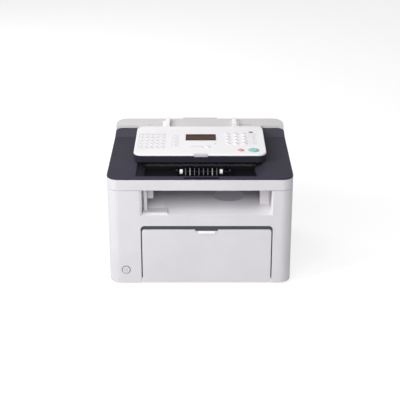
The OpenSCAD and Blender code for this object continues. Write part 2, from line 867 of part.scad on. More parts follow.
module document_tray() {
    skirt_w = panel_w / 2;
    color("gainsboro")
        difference() {
            union() {
                // Full width part behind the top cover
                intersection() {
                    in_tray()
                        block([-body_w, 0, -tray_t], [body_w, tray_len + 2, 0]);
                    difference() {
                        column(0, seam_z + 20, seam_z + 70);
                        block([-body_w, front_y - over, 0], [body_w, cover_y2 + fit, seam_z + 80]);
                    }
                }
                // Front apron on each side, over the back edge of the top cover
                intersection() {
                    column(0, cover_z2 - cover_t + 0.05, tray_line(cover_y2) - 0.5);
                    for (side = [-1, 1])
                        translate([side * (skirt_w + body_w) / 2, cover_y2 + (fit + apron_t) / 2, seam_z + 30])
                            cube([body_w - skirt_w + 5, apron_t - fit, 60], center = true);
                }
                // Narrow part between the panel's back edge and the full width part
                in_tray()
                    block([-skirt_w, 0, -tray_t], [skirt_w, tray_len * 0.6, 0]);
                // Skirts that stand on the top cover
                for (side = [-1, 1])
                    side_profile([[tray_y, cover_line(tray_y) + 0.05], [tray_y, tray_z - over],
                                  [cover_y2, tray_line(cover_y2) - over], [cover_y2, cover_z2 + 0.05]],
                                 2.5, side * (skirt_w - 1.75));
                // Walls that hold the panel's hinge pins
                for (side = [-1, 1], dx = [-arm_w / 2 - 4, arm_w / 2 + 1])
                    block([side * arm_x + dx, panel_hinge_y - 4, panel_hinge_z - 5],
                          [side * arm_x + dx + 3, panel_hinge_y + 5, tray_z - 1]);
                // Rails under the skin that carry the extension
                for (side = [-1, 1])
                    in_tray() {
                        x = side * (ext_w / 2 + slide_fit + 1.25);
                        block([x - 1.25, tray_len * 0.5, -tray_t - 5], [x + 1.25, tray_len - 1.5, -tray_t + over]);
                        block([min(x - side * 5, x), tray_len * 0.5, -tray_t - 5],
                              [max(x - side * 5, x), tray_len - 1.5, -tray_t - 3.4]);
                    }
            }
            for (side = [-1, 1]) {
                // Notch for the panel's arm
                block([side * arm_x - arm_w / 2 - 1, tray_y - over, cover_z1],
                      [side * arm_x + arm_w / 2 + 1, panel_hinge_y + arm_swing, seam_z + 80]);
                rod(panel_pin_r, side * arm_x - arm_w, side * arm_x + arm_w, [panel_hinge_y, panel_hinge_z]);
                // Slot of the document guide
                in_tray()
                    guide_slot(side);
            }
        }
}

guide_v = tray_len * 0.55;
guide_slot_w = 4;

module guide_slot(side) {
    inner = guide_offset + side * (guide_gap / 2 - 1);
    outer = guide_offset + side * (guide_gap / 2 + guide_travel + 8);
    block([min(inner, outer), guide_v - guide_slot_w / 2, -tray_t - over],
          [max(inner, outer), guide_v + guide_slot_w / 2, over]);
}

module document_guide(side) {
    x = guide_offset + side * guide_gap / 2;
    neck = guide_slot_w / 2 - slide_fit;
    color("white")
        in_tray() {
            block([min(x, x + side * guide_w), guide_v - 16, slide_fit], [max(x, x + side * guide_w), guide_v + 20, guide_h]);
            block([min(x, x + side * (guide_w + 6)), guide_v - 12, slide_fit], [max(x, x + side * (guide_w + 6)), guide_v + 14, 2]);
            block([min(x, x + side * 6), guide_v - neck, -tray_t - 2.5], [max(x, x + side * 6), guide_v + neck, over]);
            block([min(x, x + side * 6), guide_v - 5, -tray_t - 2.5],
                  [max(x, x + side * 6), guide_v + 5, -tray_t - slide_fit]);
        }
}

module tray_extension() {
    color("gainsboro")
        in_tray() {
            block([-ext_w / 2, tray_len * 0.5 + 2, -tray_t - 3.1], [ext_w / 2, tray_len + 2, -tray_t - slide_fit]);
            block([-ext_w / 2, tray_len + 0.6, -tray_t - 3.1], [ext_w / 2, tray_len + 3, 1.2]);
        }
}

// ---------------------------------------------------------------- control panel

module panel_plan(inset) {
    translate([0, panel_len / 2])
        rounded(panel_w - 2 * inset, panel_len - 2 * inset, panel_r - inset);
}

// Side outline of the panel's base, which ends before a given place at the back
function base_outline(back) = [
    [panel_y - over, cover_line(panel_y) + 2.4], [panel_y - over, seam_z + 80], [back, seam_z + 80],
    [back, cover_line(back) + 1], [min(back - 0.5, cover_y1), cover_line(min(back - 0.5, cover_y1)) + 1]];

module panel_base() {
    outline = base_outline(panel_back_y - base_back_gap);
    color("#2b2c38")
        difference() {
            intersection() {
                in_panel()
                    translate([0, 0, -40])
                        linear_extrude(40 - panel_t)
                            panel_plan(base_inset);
                side_profile(outline, body_w);
            }
            intersection() {
                in_panel()
                    translate([0, 0, -40])
                        linear_extrude(60)
                            panel_plan(base_inset + wall);
                translate([0, 0, wall])
                    side_profile(base_outline(panel_back_y - base_back_gap - wall), body_w);
            }
            // Notches for the arms of the control panel
            for (side = [-1, 1])
                block([side * arm_x - arm_w / 2 - fit, panel_back_y - 10, 0],
                      [side * arm_x + arm_w / 2 + fit, panel_back_y + over, seam_z + 80]);
            latch_space(fit);
            // Way in for the documents
            block([-feed_w / 2, panel_back_y - base_back_gap - 2 * wall, tray_z - over], [feed_w / 2, panel_back_y + over, tray_z + 6]);
        }
}

// Space of the latch in the front wall
module latch_space(gap) {
    in_panel()
        block([latch_x - 14 - gap, -over, -panel_t - 2 - gap], [latch_x + 14 + gap, 5 + latch_travel + gap, over]);
}

lcd_at = [1.5, 99];
lcd_size = [61, 31];
digit_at = [58.7, 118];
latch_x = 2;
latch_travel = 1.5;
start_at = [110.5, 22.5];
stop_at = [84.3, 22.5];
ok_at = [16, 42];
arrow_at = [-7, 42];
film_at = [-101, 77];
film_size = [56, 96];
side_film_at = [112, 90];
side_film_size = [15, 72];
left_film_at = [-52, 78];
left_film_size = [14, 74];
key_r = 5.2;
key_up = key_travel + 0.6;
arrow_pivot_z = -2;
key_collar = 1.2;
film_t = 0.8;

module control_panel() {
    color("white") {
        difference() {
            union() {
                in_panel()
                    translate([0, 0, -panel_t])
                        linear_extrude(panel_t)
                            panel_plan(0);
                // Arms to the hinge pins
                for (side = [-1, 1]) {
                    rod(panel_knuckle_r, side * arm_x - arm_w / 2, side * arm_x + arm_w / 2, [panel_hinge_y, panel_hinge_z]);
                    side_profile([[panel_back_y - 6, panel_z], [panel_back_y - 6, panel_hinge_z + 2],
                                  [panel_hinge_y, panel_hinge_z - 3], [panel_hinge_y + 2, panel_hinge_z + 3],
                                  [panel_hinge_y + 2, panel_hinge_z + 8], [panel_back_y, seam_z + panel_high - 0.5],
                                  [panel_back_y - 6, seam_z + panel_high - 1]],
                                 arm_w, side * arm_x);
                }
            }
            for (side = [-1, 1])
                rod(panel_pin_r + run_fit, side * arm_x - arm_w, side * arm_x + arm_w, [panel_hinge_y, panel_hinge_z]);
            in_panel() {
                // Pocket of the display
                translate([lcd_at[0], lcd_at[1], 0])
                    cube([lcd_size[0] + 2 * fit, lcd_size[1] + 2 * fit, 2 * 2.2], center = true);
                film_pocket(film_at, film_size);
                film_pocket(side_film_at, side_film_size);
                film_pocket(left_film_at, left_film_size);
                for (i = [0:11])
                    key_hole(digit_place(i), key_r);
                key_hole(start_at, 10);
                key_hole(stop_at, 6);
                key_hole(ok_at, 5);
                translate([arrow_at[0], arrow_at[1], -panel_t / 2])
                    cube([24 + 2 * slide_fit, 9 + 2 * slide_fit, panel_t + 2 * over], center = true);
            }
            latch_space(fit);
        }
    }
}

module film_pocket(at, size) {
    translate([at[0], at[1], 0])
        cube([size[0] + 2 * fit, size[1] + 2 * fit, 2 * film_t], center = true);
}

function digit_place(i) = digit_at + [(i % 3) * key_pitch_x, -floor(i / 3) * key_pitch_y];

module key_hole(at, r) {
    translate([at[0], at[1], -panel_t - over])
        cylinder(h = panel_t + 2 * over, r = r + slide_fit);
}

// Push key with a collar under the panel's plate
module round_key(at, r, colour) {
    color(colour)
        in_panel()
            translate([at[0], at[1], -panel_t - slide_fit - key_collar]) {
                cylinder(h = panel_t + slide_fit + key_collar + key_up, r = r);
                cylinder(h = key_collar, r = r + 1);
            }
}

module digit_key(i) {
    round_key(digit_place(i), key_r, "white");
}

module start_key() {
    round_key(start_at, 10, "mediumturquoise");
}

module stop_key() {
    round_key(stop_at, 6, "salmon");
}

module ok_key() {
    round_key(ok_at, 5, "white");
}

module arrow_key() {
    color("white")
        in_panel()
            translate([arrow_at[0], arrow_at[1], 0]) {
                block([-12, -4.5, -panel_t + 0.5], [12, 4.5, 1.2]);
                translate([0, 0, arrow_pivot_z])
                    rotate([90, 0, 0])
                        cylinder(h = 9, r = 2.4, center = true);
            }
}

module display_window() {
    color("#3a2a1c")
        in_panel()
            translate([lcd_at[0], lcd_at[1], -2])
                translate([-lcd_size[0] / 2, -lcd_size[1] / 2, 0])
                    cube([lcd_size[0], lcd_size[1], 2.2]);
}

module film(at, size, columns, rows) {
    dx = size[0] / columns;
    dy = size[1] / rows;
    color("whitesmoke")
        in_panel()
            translate([at[0], at[1], -film_t]) {
                translate([-size[0] / 2, -size[1] / 2, 0])
                    cube([size[0], size[1], film_t + 0.1]);
                for (i = [0:columns - 1], j = [0:rows - 1])
                    translate([(i + 0.5) * dx - size[0] / 2, (j + 0.5) * dy - size[1] / 2, 0])
                        cylinder(h = film_t + 0.7, r = 3);
            }
}

module one_touch_film() {
    film(film_at, film_size, 5, 5);
}

module function_film() {
    film(side_film_at, side_film_size, 1, 4);
    film(left_film_at, left_film_size, 1, 4);
}

module panel_latch() {
    color("lightgray")
        in_panel() {
            block([latch_x - 14, -1, -panel_t - 2], [latch_x + 14, 5, -0.5]);
            block([latch_x - 14, -1.5, -panel_t - 2], [latch_x + 14, 0, -1.6]);
        }
}

module panel_hinge_pins() {
    color("silver")
        for (side = [-1, 1])
            rod(panel_pin_r, side * arm_x - arm_w / 2 - 4, side * arm_x + arm_w / 2 + 4, [panel_hinge_y, panel_hinge_z]);
}

base_plate();
housing();
rear_cover();
rubber_feet();
side_frame(frame_x0 - frame_t);  // side_frame_left
side_frame(frame_x1);  // side_frame_right
output_tray();
ac_inlet();
line_jacks();
main_board();
power_supply();
laser_unit();
main_motor();
motor_pinion();
drive_gear();
transfer_roller();
toner_cartridge();
fuser_roller();
pressure_roller();
output_roller();
pickup_roller();
paper_tray();
paper_guide(-1);  // paper_guide_left
paper_guide(1);  // paper_guide_right
front_door();
hinge_pins();
power_button();
case_screws();
upper_frame();
top_cover();
image_sensor();
document_tray();
document_guide(-1);  // document_guide_left
document_guide(1);  // document_guide_right
tray_extension();
document_roller();
exit_rollers();
panel_base();
control_panel();
display_window();
panel_latch();
panel_hinge_pins();
one_touch_film();
function_film();
for (i = [0:11])
    digit_key(i);
start_key();
stop_key();
ok_key();
arrow_key();
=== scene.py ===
# %% [markdown]
# # Desktop laser fax machine
#
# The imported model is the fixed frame: every rigid piece, its place and its joints are settled there.
# This lesson dresses it. Each moulded piece is copied from its solid, its edges are rounded as a mould
# rounds them, fine detail is added, and every surface gets a procedural finish.
# %% Load the frame
import json
import math

import bpy
from mathutils import Matrix, Vector


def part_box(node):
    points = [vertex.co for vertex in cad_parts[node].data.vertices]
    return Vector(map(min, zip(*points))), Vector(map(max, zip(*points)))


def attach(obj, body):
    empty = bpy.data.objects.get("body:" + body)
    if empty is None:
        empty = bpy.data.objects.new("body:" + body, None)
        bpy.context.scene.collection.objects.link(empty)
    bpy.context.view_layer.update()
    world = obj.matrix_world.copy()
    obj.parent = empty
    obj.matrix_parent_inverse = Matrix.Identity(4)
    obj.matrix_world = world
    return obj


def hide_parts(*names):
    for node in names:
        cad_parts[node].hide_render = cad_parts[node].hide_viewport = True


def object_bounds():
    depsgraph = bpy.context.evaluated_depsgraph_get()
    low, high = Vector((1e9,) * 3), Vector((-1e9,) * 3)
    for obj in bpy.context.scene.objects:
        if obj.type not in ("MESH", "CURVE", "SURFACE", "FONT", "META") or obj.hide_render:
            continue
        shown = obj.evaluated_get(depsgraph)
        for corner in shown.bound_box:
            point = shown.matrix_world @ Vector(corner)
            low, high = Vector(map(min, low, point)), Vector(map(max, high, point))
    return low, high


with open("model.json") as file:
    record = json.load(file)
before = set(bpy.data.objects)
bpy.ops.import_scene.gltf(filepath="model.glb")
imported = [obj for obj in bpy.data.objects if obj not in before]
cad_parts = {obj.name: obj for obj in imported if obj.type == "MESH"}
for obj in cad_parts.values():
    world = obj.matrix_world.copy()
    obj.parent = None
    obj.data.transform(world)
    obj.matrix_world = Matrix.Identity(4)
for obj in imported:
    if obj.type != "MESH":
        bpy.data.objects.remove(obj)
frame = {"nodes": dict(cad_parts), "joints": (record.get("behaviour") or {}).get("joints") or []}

cad_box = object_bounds()

# %% [markdown]
# ## Places
#
# The machine stands at the origin, with its front towards -Y. Places could be typed in again, but the
# frame knows them, so the front wall and the door are asked from it, and a piece stays with its solid.
# The panel is tilted, so what lies on it is modelled flat, in the panel's own axes, and then laid down
# by a matrix.
# %% Places and the tilted panel
MM = 0.001
FRONT_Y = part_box("housing")[0].y
DOOR_GAP = 1.8 * MM
door_low, door_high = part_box("front_door")
DOOR_MID = (door_low.x + door_high.x) / 2
BAY_X = (door_low.x - DOOR_GAP, door_high.x + DOOR_GAP)
PANEL_FRONT = (0, -0.080, 0.254)
PANEL_RISE, PANEL_LEN = 4.5 * MM, 170 * MM
PANEL_TILT = math.asin(PANEL_RISE / PANEL_LEN)
on_panel = Matrix.Translation(PANEL_FRONT) @ Matrix.Rotation(PANEL_TILT, 4, "X")
to_panel = on_panel.inverted()
print("front", round(FRONT_Y, 4), "door's middle", round(DOOR_MID, 4))
print("panel's tilt", round(math.degrees(PANEL_TILT), 2), "degrees")

# %% [markdown]
# ## Finishes
#
# Moulded plastic is never one flat colour. Its tool leaves a fine grain, its sheen is a little uneven,
# its tone drifts slightly over a large wall, and rubbed edges turn paler. Images could show that, but
# they would not follow the piece, so nodes make it from Object coordinates. Colours are written from 0
# to 255, and a few small helpers keep the long chains of nodes readable.
# %% Colours and nodes by name
COLOUR_A, COLOUR_B, COLOUR_OUT = 6, 7, 2       # the colour sockets of a Mix node


def linear(*tone):
    """A colour of 0 to 255 per channel as linear light."""
    return tuple(((c / 255 + 0.055) / 1.055) ** 2.4 if c > 10 else c / 255 / 12.92 for c in tone) + (1.0,)


def empty_tree(owner):
    """The node tree of a material or world, with nothing in it."""
    owner.use_nodes = True
    owner.node_tree.nodes.clear()
    return owner.node_tree


def add_node(tree, kind, sockets=None, **settings):
    """Adds a shader node. Each socket takes a value, or the output that feeds it."""
    made = tree.nodes.new("ShaderNode" + kind)
    for key, value in settings.items():
        setattr(made, key, value)
    for socket, value in (sockets or {}).items():
        if isinstance(value, bpy.types.NodeSocket):
            tree.links.new(value, made.inputs[socket])
        else:
            made.inputs[socket].default_value = value
    return made


def span(tree, value, start, end, low=0.0, high=1.0, **settings):
    """A value that runs from low to high while another runs from start to end."""
    sockets = {"Value": value, "From Min": start, "From Max": end, "To Min": low, "To Max": high}
    return add_node(tree, "MapRange", sockets, **settings).outputs["Result"]


def math_node(tree, operation, first, second):
    return add_node(tree, "Math", {0: first, 1: second}, operation=operation).outputs["Value"]


def between(tree, share, first, second):
    """A colour between two colours, by a share of 0 to 1."""
    sockets = {"Factor": share, COLOUR_A: first, COLOUR_B: second}
    return add_node(tree, "Mix", sockets, data_type="RGBA").outputs[COLOUR_OUT]


print("mid grey as linear light:", round(linear(128, 128, 128)[0], 3))

# %% [markdown]
# Three things change the tone: wide soft patches drift it, flecks mark plated steel and boards, and on the
# deck of the output slot a painted shade darkens it towards the back, where the slot lies in shade under
# the upper unit. Each is one short function, so a finish takes only what its surface shows.
# %% Tone: drift, flecks and painted shade towards the back
FLECK_SHADE = 0.55
FLECK_REACH = 0.35


def shade(base, factor):
    return tuple(min(1.0, c * factor) for c in base[:3]) + (1.0,)


def drifting(tree, base, drift, patches):
    return between(tree, patches, shade(base, 1 - drift), shade(base, 1 + drift))


def flecked(tree, colour, base, place, size, strength):
    flecks = add_node(tree, "TexVoronoi", {"Vector": place, "Scale": size})
    near = span(tree, flecks.outputs["Distance"], 0.0, FLECK_REACH, strength, 0.0)
    return between(tree, near, colour, shade(base, FLECK_SHADE))


def shaded_towards_back(tree, colour, place, front_y, back_y, tone):
    """Painted shade: turns a colour into a darker one from front_y to back_y."""
    apart = add_node(tree, "SeparateXYZ", {"Vector": place})
    depth = span(tree, apart.outputs["Y"], front_y, back_y, interpolation_type="SMOOTHSTEP")
    return between(tree, depth, colour, linear(*tone))


print("flecks are", FLECK_SHADE, "as light as their base")

# %% [markdown]
# Hands rub edges first. The Bevel node blurs the normal over a small radius, so where it differs from
# the true normal there is an edge. Painting the wear by hand would need a map on every piece, and this
# finds each edge by itself. The same patches and the fine grain make the gloss uneven.
# %% Rubbed edges and uneven gloss
EDGE_RADIUS = 0.7 * MM
RUB_FLAT, RUB_EDGE = 0.99, 0.86                # how alike the two normals are on a wall and on an edge
ROUGH_SWING = 0.06
GRAIN_SHARE = 0.35


def rubbed(tree, colour, edge, patches, wear, worn):
    wall = add_node(tree, "NewGeometry").outputs["Normal"]
    alike = add_node(tree, "VectorMath", {0: edge, 1: wall}, operation="DOT_PRODUCT").outputs["Value"]
    rub = span(tree, alike, RUB_FLAT, RUB_EDGE, high=wear)
    return between(tree, math_node(tree, "MULTIPLY", rub, patches), colour, worn)


def uneven_gloss(tree, rough, grain, patches):
    fine = math_node(tree, "MULTIPLY", grain, GRAIN_SHARE)
    wide = math_node(tree, "MULTIPLY", patches, 1 - GRAIN_SHARE)
    both = math_node(tree, "ADD", fine, wide)
    return span(tree, both, 0.0, 1.0, max(0.02, rough - ROUGH_SWING), min(1.0, rough + ROUGH_SWING))


print("edges wear within", round(EDGE_RADIUS / MM, 1), "mm")

# %% [markdown]
# One recipe joins these: a fine noise drives the bump, a wide noise drives tone and roughness, and the
# rest is laid over them. Materials built one by one would drift apart, so every finish is a call of it.
# %% A recipe for grained surfaces
PATCH_SCALE = 9.0
PATCH_RANGE = (0.35, 0.65)
GRAIN_NOISE, PATCH_NOISE = (3.0, 0.55), (4.0, 0.60)      # detail and roughness of the two noises
FLECK_FINER = 1.4
BUMP_STRENGTH = 0.6
PALER = 22


def noise(tree, place, scale, detail, roughness):
    sockets = {"Vector": place, "Scale": scale, "Detail": detail, "Roughness": roughness}
    return add_node(tree, "TexNoise", sockets).outputs["Fac"]


def surface(name, tone, rough=0.45, grain=900.0, depth=0.00003, drift=0.03, wear=0.25, worn_tone=None,
            metal=0.0, gloss_level=0.5, stretch=(1, 1, 1), speckle=0.0, painted_shade=None):
    material = bpy.data.materials.new(name)
    tree = empty_tree(material)
    place = add_node(tree, "TexCoord").outputs["Object"]
    stretched = add_node(tree, "Mapping", {"Vector": place, "Scale": stretch}).outputs["Vector"]
    fine = noise(tree, stretched, grain, *GRAIN_NOISE)
    patches = span(tree, noise(tree, stretched, PATCH_SCALE, *PATCH_NOISE), *PATCH_RANGE)
    edge = add_node(tree, "Bevel", {"Radius": EDGE_RADIUS}, samples=4).outputs["Normal"]
    base = linear(*tone)
    colour = drifting(tree, base, drift, patches)
    if speckle:
        colour = flecked(tree, colour, base, stretched, grain * FLECK_FINER, speckle)
    # painted shade that darkens the colour towards the back
    if painted_shade:
        colour = shaded_towards_back(tree, colour, place, *painted_shade)
    worn = linear(*(worn_tone or [min(255, c + PALER) for c in tone]))
    bump = {"Strength": BUMP_STRENGTH, "Distance": depth, "Height": fine, "Normal": edge}
    shader = add_node(tree, "BsdfPrincipled", {
        "Base Color": rubbed(tree, colour, edge, patches, wear, worn),
        "Roughness": uneven_gloss(tree, rough, fine, patches),
        "Normal": add_node(tree, "Bump", bump).outputs["Normal"],
        "Metallic": metal,
        "Specular IOR Level": gloss_level,
    })
    add_node(tree, "OutputMaterial", {"Surface": shader.outputs["BSDF"]})
    return material


print("patches of about", round(1 / PATCH_SCALE / MM), "mm")

# %% [markdown]
# The record names a slot for each kind of material, and each slot gets its finish here: white and grey
# plastics, the slate cover, coloured keys, rubber, plated steel and circuit boards. One plain white for
# all pale pieces would be shorter, but the shell, the panel and the keys differ a little. The slate
# cover is nearly matt, or the white room would turn it grey.
# %% Finishes of the record's slots
FINISH = {
    "white_shell": surface("shell_white", (217, 214, 218), 0.42),
    "panel_white": surface("panel_white", (250, 248, 249), 0.38, depth=0.00002),
    "dark_cover": surface("cover_slate", (62, 61, 72), 0.5, grain=1100, depth=0.00005, drift=0.08,
                          gloss_level=0.02, wear=0.2, worn_tone=(80, 78, 88)),
    "dark_inner": surface("inner_black", (27, 27, 30), 0.5, depth=0.00004, drift=0.1, gloss_level=0.1),
    "tray_grey": surface("tray_grey", (214, 211, 211), 0.45),
    "latch_grey": surface("latch_grey", (200, 196, 200), 0.35),
    "key_white": surface("key_white", (232, 230, 233), 0.32, depth=0.00001),
    "start_green": surface("start_teal", (134, 200, 190), 0.4, depth=0.00001, gloss_level=0.2),
    "stop_red": surface("stop_coral", (226, 156, 138), 0.4, depth=0.00001, gloss_level=0.2),
    "display_brown": surface("display_brown", (68, 40, 25), 0.34, grain=1500, depth=0.00001,
                             gloss_level=0.05),
    "film_white": surface("film_white", (243, 240, 242), 0.36, depth=0.00001),
    "steel": surface("pin_steel", (186, 188, 192), 0.28, grain=700, metal=1.0, stretch=(0.05, 1, 1)),
    "frame_steel": surface("plated_sheet", (178, 181, 184), 0.4, grain=260, metal=1.0, speckle=0.25,
                           drift=0.08),
    "rubber_black": surface("rubber_black", (32, 31, 32), 0.8, grain=700, depth=0.00008, drift=0.12),
    "roller_white": surface("roller_white", (235, 234, 232), 0.5),
    "board_green": surface("board_green", (30, 92, 58), 0.35, grain=500, drift=0.12, speckle=0.3),
    "board_tan": surface("board_tan", (176, 140, 84), 0.45, grain=500, drift=0.12, speckle=0.25),
    "fuser_brown": surface("fuser_brown", (118, 66, 44), 0.3, drift=0.1),
    "pressure_red": surface("pressure_red", (150, 52, 44), 0.6, drift=0.1),
}
print("finishes:", len(FINISH))

# %% [markdown]
# Trims are finishes for parts of a piece: printed ink and rims; painted shade as the black in the groove
# and in the tub below the panel, the darker dish and the deck that darkens towards its back; and painted
# light as the paler back of the cover and the brighter side walls of the slot. They could be slots of their
# own, but they never change alone, so they stay here.
# %% Trims
TRIM = {
    "ink": surface("ink_grey", (150, 149, 158), 0.5, grain=1400, depth=0.000005),
    "dot": surface("film_dot", (214, 211, 216), 0.4, grain=1400, depth=0.000005),
    # partly painted shade: the ring round the power button is darkened for the shadow at its rim
    "ring": surface("ring_grey", (122, 121, 128), 0.45, grain=1200, depth=0.00001),
    "liner": surface("bay_liner_green", (64, 73, 75), 0.5, drift=0.06, gloss_level=0.3),
    # tub black: painted shade in the tub below the panel, and the shaft's own dark colour
    "tub": surface("tub_black", (24, 23, 27), 0.5, depth=0.00004, drift=0.1, gloss_level=0.06),
    # painted shade: the black in the finger groove
    "void": surface("groove_black", (7, 7, 8), 0.7, depth=0.00001, gloss_level=0.0),
    # painted light: the cover's raised back is paler
    "slate_back": surface("cover_slate_back", (77, 76, 87), 0.5, grain=1100, depth=0.00005, drift=0.08,
                          gloss_level=0.02, wear=0.2, worn_tone=(84, 82, 92)),
    # painted light: brighter tone for the slot's side walls
    "wall": surface("slot_wall", (246, 244, 247), 0.45),
    "base": surface("base_slate", (48, 47, 57), 0.5, grain=1100, depth=0.00005, drift=0.08,
                    gloss_level=0.05),
    "fin": surface("fin_grey", (98, 97, 104), 0.5),
    "bezel": surface("bezel_brown", (24, 18, 16), 0.4, depth=0.00001, gloss_level=0.1),
    "lens": surface("lens_black", (52, 52, 60), 0.3, depth=0.00001),
    "amber": surface("lamp_amber", (222, 190, 128), 0.35, depth=0.00001),
    # painted shade: darker tone for the dish in the deck
    "well": surface("finger_well", (166, 165, 171), 0.45),
    # painted shade: the deck darkens towards the back of the slot
    "deck": surface("deck_white", (246, 244, 247), 0.45, painted_shade=(-0.130, -0.055, (138, 137, 143))),
}
print("trims:", len(TRIM))

# %% [markdown]
# ## Lower housing
#
# The shell is one moulding with thin walls. It could be modelled from a bevelled box with a Solidify
# modifier, but its openings must line up with the door and the slot, so its own solid is copied. A
# solid's mesh is loose triangles: its doubles are merged and its flat faces joined before anything else.
# %% Copy a solid
FLAT = math.radians(0.5)


def only(piece):
    """Selects one piece alone, because an operator acts on all that is selected."""
    if bpy.context.object and bpy.context.object.mode != "OBJECT":
        bpy.ops.object.mode_set(mode="OBJECT")
    bpy.ops.object.select_all(action="DESELECT")
    piece.select_set(True)
    bpy.context.view_layer.objects.active = piece


def join_flat_faces(piece, merge):
    only(piece)
    bpy.ops.object.mode_set(mode="EDIT")
    bpy.ops.mesh.select_all(action="SELECT")
    bpy.ops.mesh.remove_doubles(threshold=merge)
    bpy.ops.mesh.dissolve_limited(angle_limit=FLAT)
    bpy.ops.object.mode_set(mode="OBJECT")
    return piece


def copy_solid(node, name):
    source = frame["nodes"][node]
    piece = source.copy()
    piece.data = source.data.copy()
    piece.name = piece.data.name = name
    piece.parent = None
    for key in [k for k in piece.keys() if k.startswith("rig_")]:
        del piece[key]
    bpy.context.scene.collection.objects.link(piece)
    only(piece)
    if piece.data.has_custom_normals:
        bpy.ops.mesh.customdata_custom_splitnormals_clear()
    return join_flat_faces(piece, merge=0.00002)


shell = copy_solid("housing", "front_shell")
print(shell.name, "faces after joining", len(shell.data.polygons))

# %% [markdown]
# A mould can't leave a sharp edge, and a tiny rounding is what catches the light. A Bevel modifier finds
# the sharp edges by their angle, which beats choosing them one by one. Weighted normals then let the
# large faces rule the shading, so a flat wall stays flat right up to its rounded edge.
# %% Round the edges
SHELL_EDGE = 0.7 * MM


def apply_modifier(piece, kind, **settings):
    only(piece)
    modifier = piece.modifiers.new(kind.title(), kind)
    for name, value in settings.items():
        setattr(modifier, name, value)
    bpy.ops.object.modifier_apply(modifier=modifier.name)
    return piece


def smooth(piece, angle=32):
    only(piece)
    bpy.ops.object.shade_smooth_by_angle(angle=math.radians(angle))
    return apply_modifier(piece, "WEIGHTED_NORMAL", mode="FACE_AREA", weight=80, keep_sharp=True)


def soften(piece, width, segments=2, angle=35):
    """Rounds the sharp edges, as a mould does, and smooths the rest."""
    apply_modifier(piece, "BEVEL", width=width, segments=segments, limit_method="ANGLE",
                   angle_limit=math.radians(angle), use_clamp_overlap=False, miter_outer="MITER_ARC")
    return smooth(piece)


soften(shell, SHELL_EDGE)
print(shell.name, "faces after rounding", len(shell.data.polygons))

# %% [markdown]
# A finished piece needs three facts: its finish, the body that it rides on, and the solids that it stands
# for. They could be said in three places, but one helper says them all, so none is forgotten.
# %% Dress the shell
def dress(piece, body, slot, material, *nodes):
    """Gives a piece its one material, its body and the solids that it stands for. The slot is not used."""
    if material is not None:
        piece.data.materials.clear()
        piece.data.materials.append(material)
    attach(piece, body)
    if nodes:
        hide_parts(*nodes)
    print(piece.name, "on", body, "faces", len(piece.data.polygons))
    return piece


dress(shell, "chassis", "white_shell", FINISH["white_shell"], "housing")

# %% [markdown]
# ## Paper door
#
# The door drops forward to load paper. A shallow scoop in its top edge lets a finger reach the lip. A
# sculpted dent would leave an uneven rim, so the scoop is cut with a box, as a tool would form it. The
# box's place goes into its mesh, so that its object sits at the origin as every other piece does.
# %% The scoop's box
SCOOP_HALF = 16 * MM
SCOOP_LOW, SCOOP_HIGH = 0.1182, 0.1230


def settle(piece, name):
    """Names a new piece and moves its place, turn and scale into its mesh."""
    piece.name = piece.data.name = name
    only(piece)
    bpy.ops.object.transform_apply(location=True, rotation=True, scale=True)
    return piece


def box_piece(name, low, high):
    middle = [(a + b) / 2 for a, b in zip(low, high)]
    bpy.ops.object.select_all(action="DESELECT")
    bpy.ops.mesh.primitive_cube_add(size=1, location=middle, scale=[b - a for a, b in zip(low, high)])
    return settle(bpy.context.object, name)


door = copy_solid("front_door", "paper_door")
scoop = box_piece("scoop", (DOOR_MID - SCOOP_HALF, FRONT_Y - 6 * MM, SCOOP_LOW),
                  (DOOR_MID + SCOOP_HALF, FRONT_Y + 8.5 * MM, SCOOP_HIGH))
print("scoop", round(scoop.dimensions.x / MM, 1), "mm wide")

# %% [markdown]
# The scoop's ends slope, so a finger slides in. Its top face is picked by its direction and widened. A
# face or an edge is always chosen in this way, by where it is and where it points, because its number
# changes whenever the mesh does.
# %% Flare the scoop and cut it
SCOOP_FLARE = 1.6
FACING = 0.9                                   # a direction with more than this along an axis points along it


def pick(piece, test, kind="FACE"):
    """Enters edit mode with the faces or edges selected whose middle and direction pass the test."""
    only(piece)
    bpy.ops.object.mode_set(mode="EDIT")
    bpy.ops.mesh.select_mode(type=kind)
    bpy.ops.mesh.select_all(action="DESELECT")
    bpy.ops.object.mode_set(mode="OBJECT")
    mesh = piece.data
    if kind == "FACE":
        for face in mesh.polygons:
            face.select = test(face.center, face.normal)
    else:
        for edge in mesh.edges:
            a, b = (mesh.vertices[i].co for i in edge.vertices)
            edge.select = test((a + b) / 2, (b - a).normalized())
    parts = mesh.polygons if kind == "FACE" else mesh.edges
    print(piece.name, kind.lower(), "picked", sum(part.select for part in parts))
    bpy.ops.object.mode_set(mode="EDIT")


def done():
    bpy.ops.object.mode_set(mode="OBJECT")


def cut(piece, cutter):
    apply_modifier(piece, "BOOLEAN", operation="DIFFERENCE", solver="EXACT", object=cutter)
    bpy.data.objects.remove(cutter)
    return join_flat_faces(piece, merge=0.00001)


pick(scoop, lambda at, normal: normal.z > FACING)
bpy.ops.transform.resize(value=(SCOOP_FLARE, 1, 1), center_override=(DOOR_MID, FRONT_Y, SCOOP_HIGH))
done()
cut(door, scoop)
print(door.name, "faces after the cut", len(door.data.polygons))

# %% [markdown]
# The grip's lip sits a little higher than on the solid, and the gap beside the door is a little wider.
# Moving a few faces is enough for that, and the rest of the mesh stretches after them.
# %% Raise the lip and narrow the door
LIP_FACES_Z = (0.1110, 0.1175)
LIP_RISE = 1.0 * MM
SIDE_OFF = 129.5 * MM                          # farther from the middle than this are the door's sides
SIDE_TRIM = 0.6 * MM


def shift(piece, test, offset, kind="FACE"):
    """Moves the faces or edges that pass the test."""
    pick(piece, test, kind)
    bpy.ops.transform.translate(value=offset)
    done()


